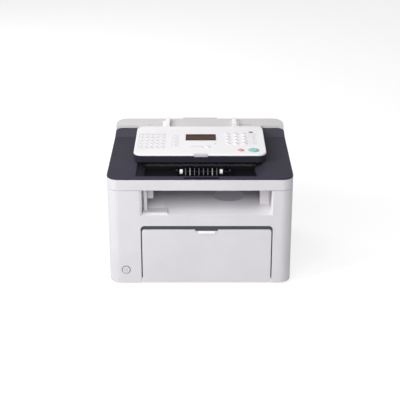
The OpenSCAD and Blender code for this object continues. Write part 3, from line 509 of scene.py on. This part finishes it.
shift(door, lambda at, normal: at.y < FRONT_Y - 0.1 * MM and LIP_FACES_Z[0] < at.z < LIP_FACES_Z[1]
      and abs(normal.z) > FACING, (0, 0, LIP_RISE))
for side in (-1, 1):
    shift(door, lambda at, normal: side * normal.x > FACING and side * (at.x - DOOR_MID) > SIDE_OFF,
          (-SIDE_TRIM * side, 0, 0))
soften(door, 0.5 * MM, 3)
dress(door, "front_door", "white_shell", FINISH["white_shell"], "front_door")

# %% [markdown]
# The lip's top and front are painted paler than the door, as painted light for the light that falls on
# them. It could be a piece of its own, but the real one is part of the door, so only its faces get a
# second material.
# %% Painted light on the lip
LIP_HALF = 17.2 * MM
LIP_Z = (0.1120, 0.1188)


def paint(piece, material, test):
    """Gives the faces whose middle and direction pass the test a second material."""
    piece.data.materials.append(material)
    last = len(piece.data.materials) - 1
    faces = [face for face in piece.data.polygons if test(face.center, face.normal)]
    for face in faces:
        face.material_index = last
    print(piece.name, "faces in", material.name, len(faces))


# painted light on the lip's top and front
paint(door, FINISH["panel_white"], lambda at, normal: at.y < FRONT_Y - 0.3 * MM
      and abs(at.x - DOOR_MID) < LIP_HALF and LIP_Z[0] < at.z < LIP_Z[1] and normal.z > -0.5)

# %% [markdown]
# ## Liner behind the door's gap
#
# The gap round the door shows a grey-green inner wall, not the works of the machine. Four strips could
# make it, but one flat box with the paper's way cut out of it has no joints to hide.
# %% Liner
LINER_Y = (FRONT_Y + 2.9 * MM, FRONT_Y + 3.7 * MM)
LINER_Z = (0.0140, 0.1330)
LINER_OVER = 4 * MM
WAY_IN = 8.5 * MM
WAY_Z = (0.0100, 0.1165)
liner = box_piece("bay_liner", (BAY_X[0] - LINER_OVER, LINER_Y[0], LINER_Z[0]),
                  (BAY_X[1] + LINER_OVER, LINER_Y[1], LINER_Z[1]))
way = box_piece("way", (BAY_X[0] + WAY_IN, FRONT_Y, WAY_Z[0]),
                (BAY_X[1] - WAY_IN, FRONT_Y + 10 * MM, WAY_Z[1]))
cut(liner, way)
soften(liner, 0.2 * MM)
dress(liner, "chassis", "dark_inner", TRIM["liner"])

# %% [markdown]
# ## Output slot
#
# Printed sheets slide out over a sloping deck to a level front. The crease between the two is softly
# rounded on the real moulding, and the rest at the left is low, with a front that falls away. Both could
# be new blocks, but the solid's own edges and faces do it: the crease is bevelled and the rest's top is
# lowered, so the deck keeps its walls.
# %% Rounded crease and lower rest
CREASE_Y, CREASE_Z = -0.105, 0.152
CREASE_ROUND = 12.5 * MM
NEAR = 0.4 * MM
REST_X = (-0.120, -0.070)
REST_Y = (-0.135, -0.090)
REST_TOP_Z = 0.1565
REST_FRONT_Y, REST_FRONT_Z = -0.130, 0.1535
REST_DROP, REST_FRONT_DROP = 3.8 * MM, 1.6 * MM
deck = copy_solid("output_tray", "exit_deck")
pick(deck, lambda at, along: abs(at.y - CREASE_Y) < NEAR and abs(at.z - CREASE_Z) < NEAR
     and at.x > REST_X[1] + 10 * MM and abs(along.x) > FACING, "EDGE")
bpy.ops.mesh.bevel(offset=CREASE_ROUND, segments=10, affect="EDGES", clamp_overlap=False)
done()
shift(deck, lambda at, normal: normal.z > FACING and at.z > REST_TOP_Z and REST_Y[0] < at.y < REST_Y[1]
      and REST_X[0] < at.x < REST_X[1], (0, 0, -REST_DROP))
shift(deck, lambda at, along: abs(at.y - REST_FRONT_Y) < NEAR and at.z > REST_FRONT_Z and at.x < REST_X[1]
      and abs(along.x) > FACING, (0, 0, -REST_FRONT_DROP), "EDGE")
print(deck.name, "faces", len(deck.data.polygons))

# %% [markdown]
# A shallow oval dish lets fingers get under a small sheet. Pushing vertices down would need a dense deck,
# so a flattened ball, laid on the slope, is cut out of it instead.
# %% Dish in the deck
SLOPE_RISE = 0.031 / 0.095
DISH_AT = (0.060, -0.075, 0.1618)
DISH_SIZE = (0.0320, 0.0190, 0.0019)
bpy.ops.object.select_all(action="DESELECT")
bpy.ops.mesh.primitive_uv_sphere_add(segments=48, ring_count=24, radius=1)
dish = bpy.context.object
dish.matrix_world = (Matrix.Translation(DISH_AT) @ Matrix.Rotation(math.atan(SLOPE_RISE), 4, "X")
                     @ Matrix.Diagonal((*DISH_SIZE, 1)))
cut(deck, settle(dish, "dish"))
soften(deck, 0.4 * MM, angle=25)
dress(deck, "chassis", "white_shell", TRIM["deck"], "output_tray")

# %% [markdown]
# The dish gets a darker tone, as painted shade in its hollow, and the side walls, which face each other,
# get a brighter tone, as painted light for the lamp light that falls on them. The dish's faces are those
# inside its oval that also lie under the slope: the slope is one big face whose middle falls in the oval
# too, so the oval alone would pick it.
# %% Painted shade in the dish and painted light on the side walls
WELL_HALF = (31.5 * MM, 18.0 * MM)
WELL_DEPTH = 0.04 * MM
WALLS_OFF = 125 * MM


def in_well(at):
    across = math.hypot((at.x - DISH_AT[0]) / WELL_HALF[0], (at.y - DISH_AT[1]) / WELL_HALF[1])
    return across < 1 and at.z < CREASE_Z + SLOPE_RISE * (at.y - CREASE_Y) - WELL_DEPTH


# painted shade in the dish
paint(deck, TRIM["well"], lambda at, normal: in_well(at) and normal.z > 0.5)
# painted light on the slot's side walls
paint(deck, TRIM["wall"], lambda at, normal: abs(normal.x) > FACING and abs(at.x - DOOR_MID) > WALLS_OFF)

# %% [markdown]
# Small blocks stand in the slot: a flat stop at the rest, a post in front and one behind it, and one at
# the right wall. They could be pulled up out of the deck, but plain rounded blocks pushed into it look
# the same, and they stay easy to move.
# %% Stop plate and posts
POST_TOP = 0.2036
for name, low, high in (
        ("exit_stop_plate", (-0.1165, -0.1520, 0.1516), (-0.0645, -0.1275, 0.1550)),
        ("exit_post_front", (-0.1135, -0.1380, 0.1515), (-0.1065, -0.1260, POST_TOP)),
        ("exit_post_right", (0.1222, -0.1040, 0.1530), (0.1430, -0.0920, POST_TOP)),
        ("exit_post_back", (-0.1172, -0.1180, 0.1720), (-0.0950, -0.1060, POST_TOP))):
    dress(soften(box_piece(name, low, high), 1.2 * MM, 3), "chassis", "white_shell", FINISH["white_shell"])

# %% [markdown]
# ## Upper unit
#
# A white band carries a dark cover that rises to the back. Both keep their solids' forms with rounded
# edges. Where two roundings of the band meet, the bevel swells past the wall by a hair. A narrower bevel
# would look sharp, so the band's points are held inside the machine's width instead.
# %% Band and dark cover
band = soften(copy_solid("upper_frame", "upper_band"), SHELL_EDGE)
for point in band.data.vertices:
    point.co.x = max(cad_box[0].x, min(cad_box[1].x, point.co.x))
dress(band, "top_unit", "white_shell", FINISH["white_shell"], "upper_frame")
cover = soften(copy_solid("top_cover", "dark_cover"), 0.6 * MM)
dress(cover, "top_unit", "dark_cover", FINISH["dark_cover"], "top_cover")

# %% [markdown]
# The tub below the panel is painted blacker than the rest of the cover, as painted shade under the panel,
# and its raised back is painted paler, as painted light for the room light it catches. Their faces are
# told apart by height and depth, so the cover stays one piece.
# %% Painted shade in the tub and painted light on the back
TUB_RIM_Z = 0.2276
TUB_Y = (-0.149, -0.058)
TUB_HALF = 0.1135
BACK_Y, BACK_Z = 0.0842, 0.2300
# painted shade in the tub below the panel
paint(cover, TRIM["tub"], lambda at, normal: at.z < TUB_RIM_Z and TUB_Y[0] < at.y < TUB_Y[1]
      and abs(at.x) < TUB_HALF and normal.y < 0.95)
# painted light on the cover's raised back
paint(cover, TRIM["slate_back"], lambda at, normal: at.y > BACK_Y and at.z > BACK_Z)

# %% [markdown]
# The finger groove in the cover's front edge reads as a black line. Its floor could be painted, but the
# cover's rounded edges would blur the line, so a thin matt black strip lies on it as painted shade, for
# the darkness inside a deep groove.
# %% Painted shade strip in the finger groove
GROOVE_MID = 2.5 * MM
GROOVE_HALF = 35 * MM
STRIP_Z = (0.23080, 0.23172)
strip = box_piece("groove_strip", (GROOVE_MID - GROOVE_HALF, FRONT_Y + 0.1 * MM, STRIP_Z[0]),
                  (GROOVE_MID + GROOVE_HALF, FRONT_Y + 5.7 * MM, STRIP_Z[1]))
dress(soften(strip, 0.2 * MM), "top_unit", "dark_inner", TRIM["void"])

# %% [markdown]
# Eight fins guide the sheet between the two exit rollers, two of them wider and paler. Each is a box
# whose top is drawn in towards its back edge. They could be an array, but a loop gives each its own mesh
# and its own width.
# %% Rib fins
FIN_MID, FIN_STEP = 7 * MM, 9 * MM
FIN_Y = (-0.1170, -0.1000)
FIN_Z = (0.2205, 0.2316)
FIN_TAPER = (0.8, 0.30, 1)
WIDE_FINS = (-3, 2)
for i in range(-4, 4):
    x = FIN_MID + FIN_STEP * i
    half = (1.1 if i in WIDE_FINS else 0.8) * MM
    fin = box_piece(f"rib_fin_{i + 5}", (x - half, FIN_Y[0], FIN_Z[0]), (x + half, FIN_Y[1], FIN_Z[1]))
    pick(fin, lambda at, normal: normal.z > FACING)
    bpy.ops.transform.resize(value=FIN_TAPER, center_override=(x, FIN_Y[1] - 0.5 * MM, FIN_Z[1]))
    done()
    dress(soften(fin, 0.3 * MM), "top_unit", "latch_grey", TRIM["ink" if i in WIDE_FINS else "fin"])

# %% [markdown]
# The two exit rollers are pale rubber rings on a dark shaft. They turn as one, so they stay one turned
# piece with two materials: what lies close to the spin axis is the shaft.
# %% Exit rollers
SHAFT_RADIUS = 2.4 * MM
spin = next(joint for joint in frame["joints"] if joint["name"] == "exit_rollers_spin")["pos_m"]
rollers = smooth(copy_solid("exit_rollers", "exit_roller_pair"), 40)
dress(rollers, "exit_rollers", "roller_white", FINISH["roller_white"], "exit_rollers")
paint(rollers, TRIM["tub"], lambda at, normal: math.hypot(at.y - spin[1], at.z - spin[2]) < SHAFT_RADIUS)

# %% [markdown]
# ## Document tray and guides
#
# Originals wait on the rear tray between two sliding guides, thin fins with a foot. They could be
# extruded from a sketch, but their solids already fit their slots, so those are copied and rounded.
# %% Document tray, guides and extension
rest = soften(copy_solid("document_tray", "document_rest"), 0.5 * MM)
dress(rest, "top_unit", "tray_grey", FINISH["tray_grey"], "document_tray")
for side in ("left", "right"):
    guide = soften(copy_solid(f"document_guide_{side}", f"document_fin_{side}"), 0.5 * MM)
    dress(guide, f"document_guide_{side}", "panel_white", FINISH["panel_white"], f"document_guide_{side}")
slide = soften(copy_solid("tray_extension", "tray_slide"), 0.6 * MM)
dress(slide, "tray_extension", "tray_grey", FINISH["tray_grey"], "tray_extension")

# %% [markdown]
# ## Control panel
#
# The plate is a crisp white moulding with a well rounded rim over a dark base. A Bevel modifier would
# round the holes as much as the rim, so only the edges along the plate's outline are picked, by their
# distance from it. They catch the light in one soft line.
# %% Panel plate with a rounded rim
PLATE_HALF = (0.136, 0.085)
PLATE_R = 0.017
ON_TOP, ON_RIM = 0.1 * MM, 0.4 * MM


def rim_gap(at):
    """Distance of a place, in the panel's own axes, from the plate's rounded outline."""
    dx = abs(at.x) - PLATE_HALF[0] + PLATE_R
    dy = abs(at.y - PLATE_HALF[1]) - PLATE_HALF[1] + PLATE_R
    return math.hypot(max(dx, 0), max(dy, 0)) + min(max(dx, dy), 0) - PLATE_R


plate = copy_solid("control_panel", "panel_plate")
pick(plate, lambda at, along: abs((to_panel @ at).z) < ON_TOP and abs(rim_gap(to_panel @ at)) < ON_RIM,
     "EDGE")
bpy.ops.mesh.bevel(offset=1.4 * MM, segments=4, affect="EDGES", clamp_overlap=False)
done()
dress(smooth(plate), "panel", "panel_white", FINISH["panel_white"], "control_panel")

# %% [markdown]
# The dark base and the grey release tab under the plate's front edge show only as thin lines. They could
# be modelled anew, but rounded copies of their solids are enough for that.
# %% Panel base and release tab
base = soften(copy_solid("panel_base", "panel_body"), 0.6 * MM)
dress(base, "panel", "dark_cover", TRIM["base"], "panel_base")
latch = soften(copy_solid("panel_latch", "release_tab"), 0.6 * MM, 3)
dress(latch, "panel_latch", "latch_grey", FINISH["latch_grey"], "panel_latch")

# %% [markdown]
# ## Display
#
# The display is a brown window in a darker raised frame. The frame could be four bars, but their mitred
# corners are hard to close. A flat box is inset at the top and at the bottom instead, both inner faces
# are deleted, and their rims are bridged, which gives one closed frame.
# %% Bezel and window
DISPLAY_AT = (1.5 * MM, 99 * MM)
BEZEL_HALF = (32 * MM, 18 * MM)
BEZEL_WIDTH = 3.4 * MM
BEZEL_Z = (-0.2 * MM, 0.9 * MM)
glass = soften(copy_solid("display_window", "display_glass"), 0.3 * MM)
dress(glass, "panel", "display_brown", FINISH["display_brown"], "display_window")
bezel = box_piece("display_bezel",
                  (DISPLAY_AT[0] - BEZEL_HALF[0], DISPLAY_AT[1] - BEZEL_HALF[1], BEZEL_Z[0]),
                  (DISPLAY_AT[0] + BEZEL_HALF[0], DISPLAY_AT[1] + BEZEL_HALF[1], BEZEL_Z[1]))
for up in (1, -1):
    pick(bezel, lambda at, normal: up * normal.z > FACING)
    bpy.ops.mesh.inset(thickness=BEZEL_WIDTH)
    bpy.ops.mesh.delete(type="FACE")
    done()
bpy.ops.object.mode_set(mode="EDIT")
bpy.ops.mesh.select_mode(type="EDGE")
bpy.ops.mesh.select_all(action="DESELECT")
bpy.ops.mesh.select_non_manifold()
bpy.ops.mesh.bridge_edge_loops()
bpy.ops.mesh.select_all(action="SELECT")
bpy.ops.mesh.normals_make_consistent(inside=False)
done()
bezel.data.transform(on_panel)
dress(soften(bezel, 0.4 * MM, 3), "panel", "display_brown", TRIM["bezel"])

# %% [markdown]
# ## Keys
#
# Each key is a low round dome in a hole of the plate, and the dialling keys carry printed digits. A
# modifier would round a key's collar under the plate too, so only the edges of its top are picked and
# bevelled. A texture would need an image for the digits, so they are thin text, turned into mesh, laid
# on the key's top and joined to it.
# %% Helpers for rounded tops and printed digits
SIGN_SIZE, SIGN_RISE = 6.2 * MM, 0.05 * MM
TOP_SLACK = 0.05 * MM


def dome(node, name, rim):
    """A copy of a key with a rounded top rim, and the top's level in the panel's axes."""
    piece = copy_solid(node, name)
    top = max((to_panel @ v.co).z for v in piece.data.vertices)
    pick(piece, lambda at, along: (to_panel @ at).z > top - TOP_SLACK, "EDGE")
    bpy.ops.mesh.bevel(offset=rim, segments=4, affect="EDGES")
    done()
    only(piece)
    bpy.ops.object.shade_smooth_by_angle(angle=math.radians(40))
    return piece, top


def print_sign(piece, sign, at, height):
    """Adds a printed sign on top of a piece, as thin raised letters."""
    bpy.ops.object.select_all(action="DESELECT")
    bpy.ops.object.text_add()
    letters = bpy.context.object
    letters.data.body = sign
    letters.data.size = SIGN_SIZE
    letters.data.align_x = "CENTER"
    letters.data.align_y = "CENTER"
    letters.data.extrude = SIGN_RISE
    letters.data.resolution_u = 3
    bpy.ops.object.convert(target="MESH")
    letters.matrix_world = on_panel @ Matrix.Translation((at[0], at[1], height))
    settle(letters, piece.name + "_sign")
    letters.data.materials.clear()
    letters.data.materials.append(TRIM["ink"])
    only(piece)
    letters.select_set(True)
    bpy.ops.object.join()


print("digits", round(SIGN_SIZE / MM, 1), "mm high")

# %% [markdown]
# The twelve dialling keys stand in three columns and four rows. Their places follow from the first key
# and the spacing, so a loop makes them all.
# %% Dialling keys
DIAL_KEYS = [(digit, digit) for digit in "123456789"] + [("star", "*"), ("0", "0"), ("hash", "#")]
DIAL_FIRST = (58.7 * MM, 118 * MM)
DIAL_STEP = (17.6 * MM, 18.6 * MM)
KEY_RIM = 1.2 * MM
for i, (word, sign) in enumerate(DIAL_KEYS):
    row, column = divmod(i, 3)
    at = (DIAL_FIRST[0] + column * DIAL_STEP[0], DIAL_FIRST[1] - row * DIAL_STEP[1])
    key, top = dome("key_" + word, "dial_key_" + word, KEY_RIM)
    key.data.materials.clear()
    key.data.materials.append(FINISH["key_white"])
    print_sign(key, sign, at, top)
    dress(key, "key_" + word, "key_white", None, "key_" + word)

# %% [markdown]
# The start key is the largest and teal, the stop key coral, and the OK key white. The arrow key beside it
# rocks and is rounded all over, so there the plain modifier does.
# %% Start, stop, OK and arrow keys
for node, name, slot, rim in (("start_key", "start_button", "start_green", 1.4 * MM),
                              ("stop_key", "stop_button", "stop_red", 1.3 * MM),
                              ("ok_key", "ok_button", "key_white", KEY_RIM)):
    dress(dome(node, name, rim)[0], node, slot, FINISH[slot], node)
arrows = soften(copy_solid("arrow_key", "arrow_rocker"), 0.8 * MM, 3)
dress(arrows, "arrow_key", "key_white", FINISH["key_white"], "arrow_key")

# %% [markdown]
# The one-touch and function keys are low domes in sealed films. The domes could be pieces of their own,
# but the real film is one sheet, so its faces are told apart by level, and the domes get a greyer print.
# %% Key films
DOT_LEVEL = 0.62 * MM
for node, name in (("one_touch_film", "one_touch_pad"), ("function_film", "function_pad")):
    film = soften(copy_solid(node, name), 0.25 * MM)
    dress(film, "panel", "film_white", FINISH["film_white"], node)
    paint(film, TRIM["dot"], lambda at, normal: (to_panel @ at).z > DOT_LEVEL)

# %% [markdown]
# Small signs finish the panel: a pale lozenge on the start key and grey rims round the start and stop
# keys. A ring could be a thin torus, but these are flat prints, so each is a disc with a smaller disc cut
# out of it. The lozenge is such a ring with four corners.
# %% Rings on the panel
START_AT, STOP_AT = (110.5 * MM, 22.5 * MM), (84.3 * MM, 22.5 * MM)
MARK_Z = (1.7 * MM, 1.92 * MM)
RING_Z = (-0.2 * MM, 0.3 * MM)


def disc(name, at, radius, levels, ratio=1.0, corners=48):
    """A thin upright disc on the panel, between two levels."""
    low, high = levels
    bpy.ops.object.select_all(action="DESELECT")
    bpy.ops.mesh.primitive_cylinder_add(vertices=corners, radius=radius, depth=high - low)
    piece = bpy.context.object
    piece.matrix_world = (on_panel @ Matrix.Translation((at[0], at[1], (low + high) / 2))
                          @ Matrix.Diagonal((1, ratio, 1, 1)))
    return settle(piece, name)


def ring(name, at, outer, inner, levels, ratio=1.0, corners=48):
    """A flat ring: a disc with a smaller disc cut out of it."""
    piece = disc(name, at, outer, levels, ratio, corners)
    through = (levels[0] - 1 * MM, levels[1] + 1 * MM)
    return cut(piece, disc(name + "_hole", at, inner, through, ratio, corners))


mark = ring("start_mark", START_AT, 5.2 * MM, 4.0 * MM, MARK_Z, 0.8, 4)
dress(smooth(mark), "start_key", "panel_white", FINISH["panel_white"])
for name, at, outer, inner in (("start_rim", START_AT, 12.2 * MM, 10.6 * MM),
                               ("stop_rim", STOP_AT, 7.6 * MM, 6.6 * MM)):
    rim = soften(ring(name, at, outer, inner, RING_Z), 0.1 * MM)
    dress(rim, "panel", "film_white", TRIM["dot"])

# %% [markdown]
# A dark oval lens and a round amber lamp tell the machine's state. Balls would stand too proud, so both
# are low discs, half sunk in the plate, whose rims are rounded until they look like moulded lenses.
# %% Status lens and lamp
LENS_AT, LENS_RADIUS, LENS_RATIO = (109.5 * MM, 131 * MM), 5 * MM, 0.62
LAMP_AT, LAMP_RADIUS = (31.2 * MM, 61 * MM), 2 * MM
LENS_Z = (-0.2 * MM, 0.6 * MM)
lens = disc("status_lens", LENS_AT, LENS_RADIUS, LENS_Z, LENS_RATIO)
dress(soften(lens, 0.3 * MM, 3), "panel", "display_brown", TRIM["lens"])
lamp_dot = disc("status_lamp", LAMP_AT, LAMP_RADIUS, LENS_Z)
dress(soften(lamp_dot, 0.3 * MM, 3), "panel", "start_green", TRIM["amber"])

# %% [markdown]
# ## Power button
#
# The button is a shallow disc in a round hole, with a grey ring near its rim, whose dark tone is also
# painted shade for the shadow round the button. A cut ring would have a square section, so the ring is a
# thin torus, half sunk in the button's face.
# %% Power button and its ring
RING_RADIUS, RING_THICK = 7.9 * MM, 0.7 * MM
button_low, button_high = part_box("power_button")
BUTTON = Vector(((button_low.x + button_high.x) / 2, FRONT_Y, (button_low.z + button_high.z) / 2))
button = soften(copy_solid("power_button", "power_knob"), 0.7 * MM, 3)
dress(button, "power_button", "white_shell", FINISH["white_shell"], "power_button")
bpy.ops.object.select_all(action="DESELECT")
bpy.ops.mesh.primitive_torus_add(major_segments=64, minor_segments=12, major_radius=RING_RADIUS,
                                 minor_radius=RING_THICK, location=BUTTON, rotation=(math.pi / 2, 0, 0))
hoop = settle(bpy.context.object, "power_ring")
dress(smooth(hoop), "power_button", "latch_grey", TRIM["ring"])

# %% [markdown]
# The usual sign for power, an open arc with a bar, is printed on the button. Cut shapes would need many
# corners. A curve with a round bevel draws both strokes with even width, and is then turned into mesh.
# %% Power sign
ARC_RADIUS = 3 * MM
ARC_STEPS = 24
ARC_FROM, ARC_SWEEP = 125, 290                 # degrees, counted from the right
BAR = ((0, 0.8 * MM), (0, 4 * MM))
arc = bpy.data.curves.new("power_arc", "CURVE")
arc.dimensions = "3D"
arc.bevel_depth = 0.32 * MM
arc.use_fill_caps = True


def stroke(points):
    line = arc.splines.new("POLY")
    line.points.add(len(points) - 1)
    for spot, (x, z) in zip(line.points, points):
        spot.co = (BUTTON.x + x, BUTTON.y - 0.5 * MM, BUTTON.z + z, 1)


turns = [math.radians(ARC_FROM + ARC_SWEEP * i / ARC_STEPS) for i in range(ARC_STEPS + 1)]
stroke([(ARC_RADIUS * math.cos(turn), ARC_RADIUS * math.sin(turn)) for turn in turns])
stroke(BAR)
power_sign = bpy.data.objects.new("power_sign", arc)
bpy.context.scene.collection.objects.link(power_sign)
only(power_sign)
bpy.ops.object.convert(target="MESH")
dress(smooth(bpy.context.object), "power_button", "latch_grey", TRIM["ink"])

# %% [markdown]
# ## Rear cover and the rest of the solids
#
# The rear cover is a flat plate with many louvres and sockets. A bevel tears where so many holes share
# one face, so its copy is only shaded smoothly. Rollers, gears, boards and brackets keep their solids as
# they are, and each of their slots gets its finish by name.
# %% Rear cover and carried-over solids
back = smooth(copy_solid("rear_cover", "back_panel"))
dress(back, "chassis", "white_shell", FINISH["white_shell"], "rear_cover")
own_names = tuple(material.name for material in FINISH.values())
for name, solid in frame["nodes"].items():
    for spot in solid.material_slots:
        kind = spot.material.name.split(".")[0]
        if kind in FINISH:
            spot.material = FINISH[kind]
        elif not kind.startswith(own_names):
            print("no finish for", name, kind)
print("solids looked at:", len(frame["nodes"]))

# %% [markdown]
# ## Floor and world
#
# The floor and the sky look white to the camera and in reflections, but light the machine plainly. More
# lamps would wash out the machine, so the Light Path node tells the rays apart: what is seen directly,
# in a mirror or through glass is white, and all other rays meet a dim grey.
# %% A world that is white to the eye
SKY = (0.97, 0.97, 1.0, 1)
SKY_STRENGTH = 0.25


def seen_rays(tree):
    """A share of 1 for rays that see the background directly, in a mirror or through glass."""
    path = add_node(tree, "LightPath").outputs
    seen = math_node(tree, "MAXIMUM", path["Is Camera Ray"], path["Is Glossy Ray"])
    return math_node(tree, "MAXIMUM", seen, path["Is Transmission Ray"])


def show(tree, kind, plain, seen):
    """Gives one shader to the rays that light the machine, and another to those that are seen."""
    choice = add_node(tree, "MixShader", {"Fac": seen_rays(tree), 1: plain, 2: seen})
    add_node(tree, "Output" + kind, {"Surface": choice.outputs["Shader"]})


world = bpy.data.worlds.new("studio")
bpy.context.scene.world = world
tree = empty_tree(world)
sky = add_node(tree, "Background", {"Color": SKY, "Strength": SKY_STRENGTH})
white = add_node(tree, "Background", {"Color": (1, 1, 1, 1), "Strength": 1.0})
show(tree, "World", sky.outputs["Background"], white.outputs["Background"])
print("world nodes:", len(tree.nodes))

# %% [markdown]
# The floor adds a little glow to its own shading. A white floor lit by lamps alone would be grey in
# places, and a pure glow would lose the shadow. The sum of both keeps the shadow and turns the rest white.
# %% Floor
FLOOR_GREY = (0.46, 0.46, 0.46, 1)
FLOOR_GLOW = 0.72
bpy.ops.object.select_all(action="DESELECT")
bpy.ops.mesh.primitive_plane_add(size=40, location=(0, 0, -0.2 * MM))
floor = bpy.context.object
floor.name = "floor"
paper = bpy.data.materials.new("floor_paper")
tree = empty_tree(paper)
matt = add_node(tree, "BsdfDiffuse", {"Color": FLOOR_GREY}).outputs["BSDF"]
glow = add_node(tree, "Emission", {"Strength": FLOOR_GLOW}).outputs["Emission"]
lit = add_node(tree, "AddShader", {0: matt, 1: glow}).outputs["Shader"]
show(tree, "Material", matt, lit)
floor.data.materials.append(paper)
print("floor nodes:", len(tree.nodes))

# %% [markdown]
# ## Lamps and camera
#
# Five soft square lamps stand round the machine, each aimed at its middle. The two on the left are
# strong and model the shell, one fills from the front, one lifts the back, and a weak one keeps the
# right flank from turning black. One large lamp could do it, but the front and the flanks of a boxy
# machine each need light of their own.
# %% Lamps
LAMPS = (                                      # name, place, height of the aim, size in metres, watts
    ("key_lamp", (-2.0, -1.05, 1.45), 0.14, 1.1, 35),
    ("left_lamp", (-1.05, -2.0, 1.85), 0.14, 1.0, 19),
    ("front_lamp", (0, -2.4, 1.2), 0.12, 1.0, 21),
    ("back_lamp", (-1.2, 1.6, 1.6), 0.12, 1.2, 15),
    ("right_lamp", (1.9, -1.3, 1.0), 0.12, 1.0, 3),
)
for name, at, aim_z, size, power in LAMPS:
    light = bpy.data.lights.new(name, "AREA")
    light.shape = "SQUARE"
    light.size = size
    light.energy = power
    holder = bpy.data.objects.new(name, light)
    bpy.context.scene.collection.objects.link(holder)
    holder.location = at
    holder.rotation_euler = (Vector((0, 0, aim_z)) - Vector(at)).to_track_quat("-Z", "Y").to_euler()
print("lamps:", len(LAMPS))

# %% [markdown]
# The camera looks down on the machine from the front. A wide lens close by would bend the machine's
# uprights together, so a long lens from farther away is used. Its focal length is known in pixels of a
# square picture, and Blender wants millimetres of a sensor, so one is turned into the other.
# %% Camera
TILT_DOWN = math.radians(22.12)
DISTANCE = 2.2
AIM_Z = 0.1208
SENSOR = 36
PICTURE_PIXELS, FOCAL_PIXELS = 400, 1019.2
camera_data = bpy.data.cameras.new("camera")
camera_data.sensor_width = SENSOR
camera_data.lens = FOCAL_PIXELS / PICTURE_PIXELS * SENSOR
camera = bpy.data.objects.new("camera", camera_data)
bpy.context.scene.collection.objects.link(camera)
backwards = Vector((0, -math.cos(TILT_DOWN), math.sin(TILT_DOWN)))
camera.location = Vector((0, 0, AIM_Z)) + DISTANCE * backwards
camera.rotation_euler = (math.pi / 2 - TILT_DOWN, 0, 0)
bpy.context.scene.camera = camera
bpy.context.scene.view_settings.view_transform = "Standard"
print("lens", round(camera_data.lens, 1), "mm")

# %% [markdown]
# ## Last step
#
# The box of the solids is printed.
# %% Size of the solids
print("cad", [tuple(round(v, 4) for v in c) for c in cad_box])
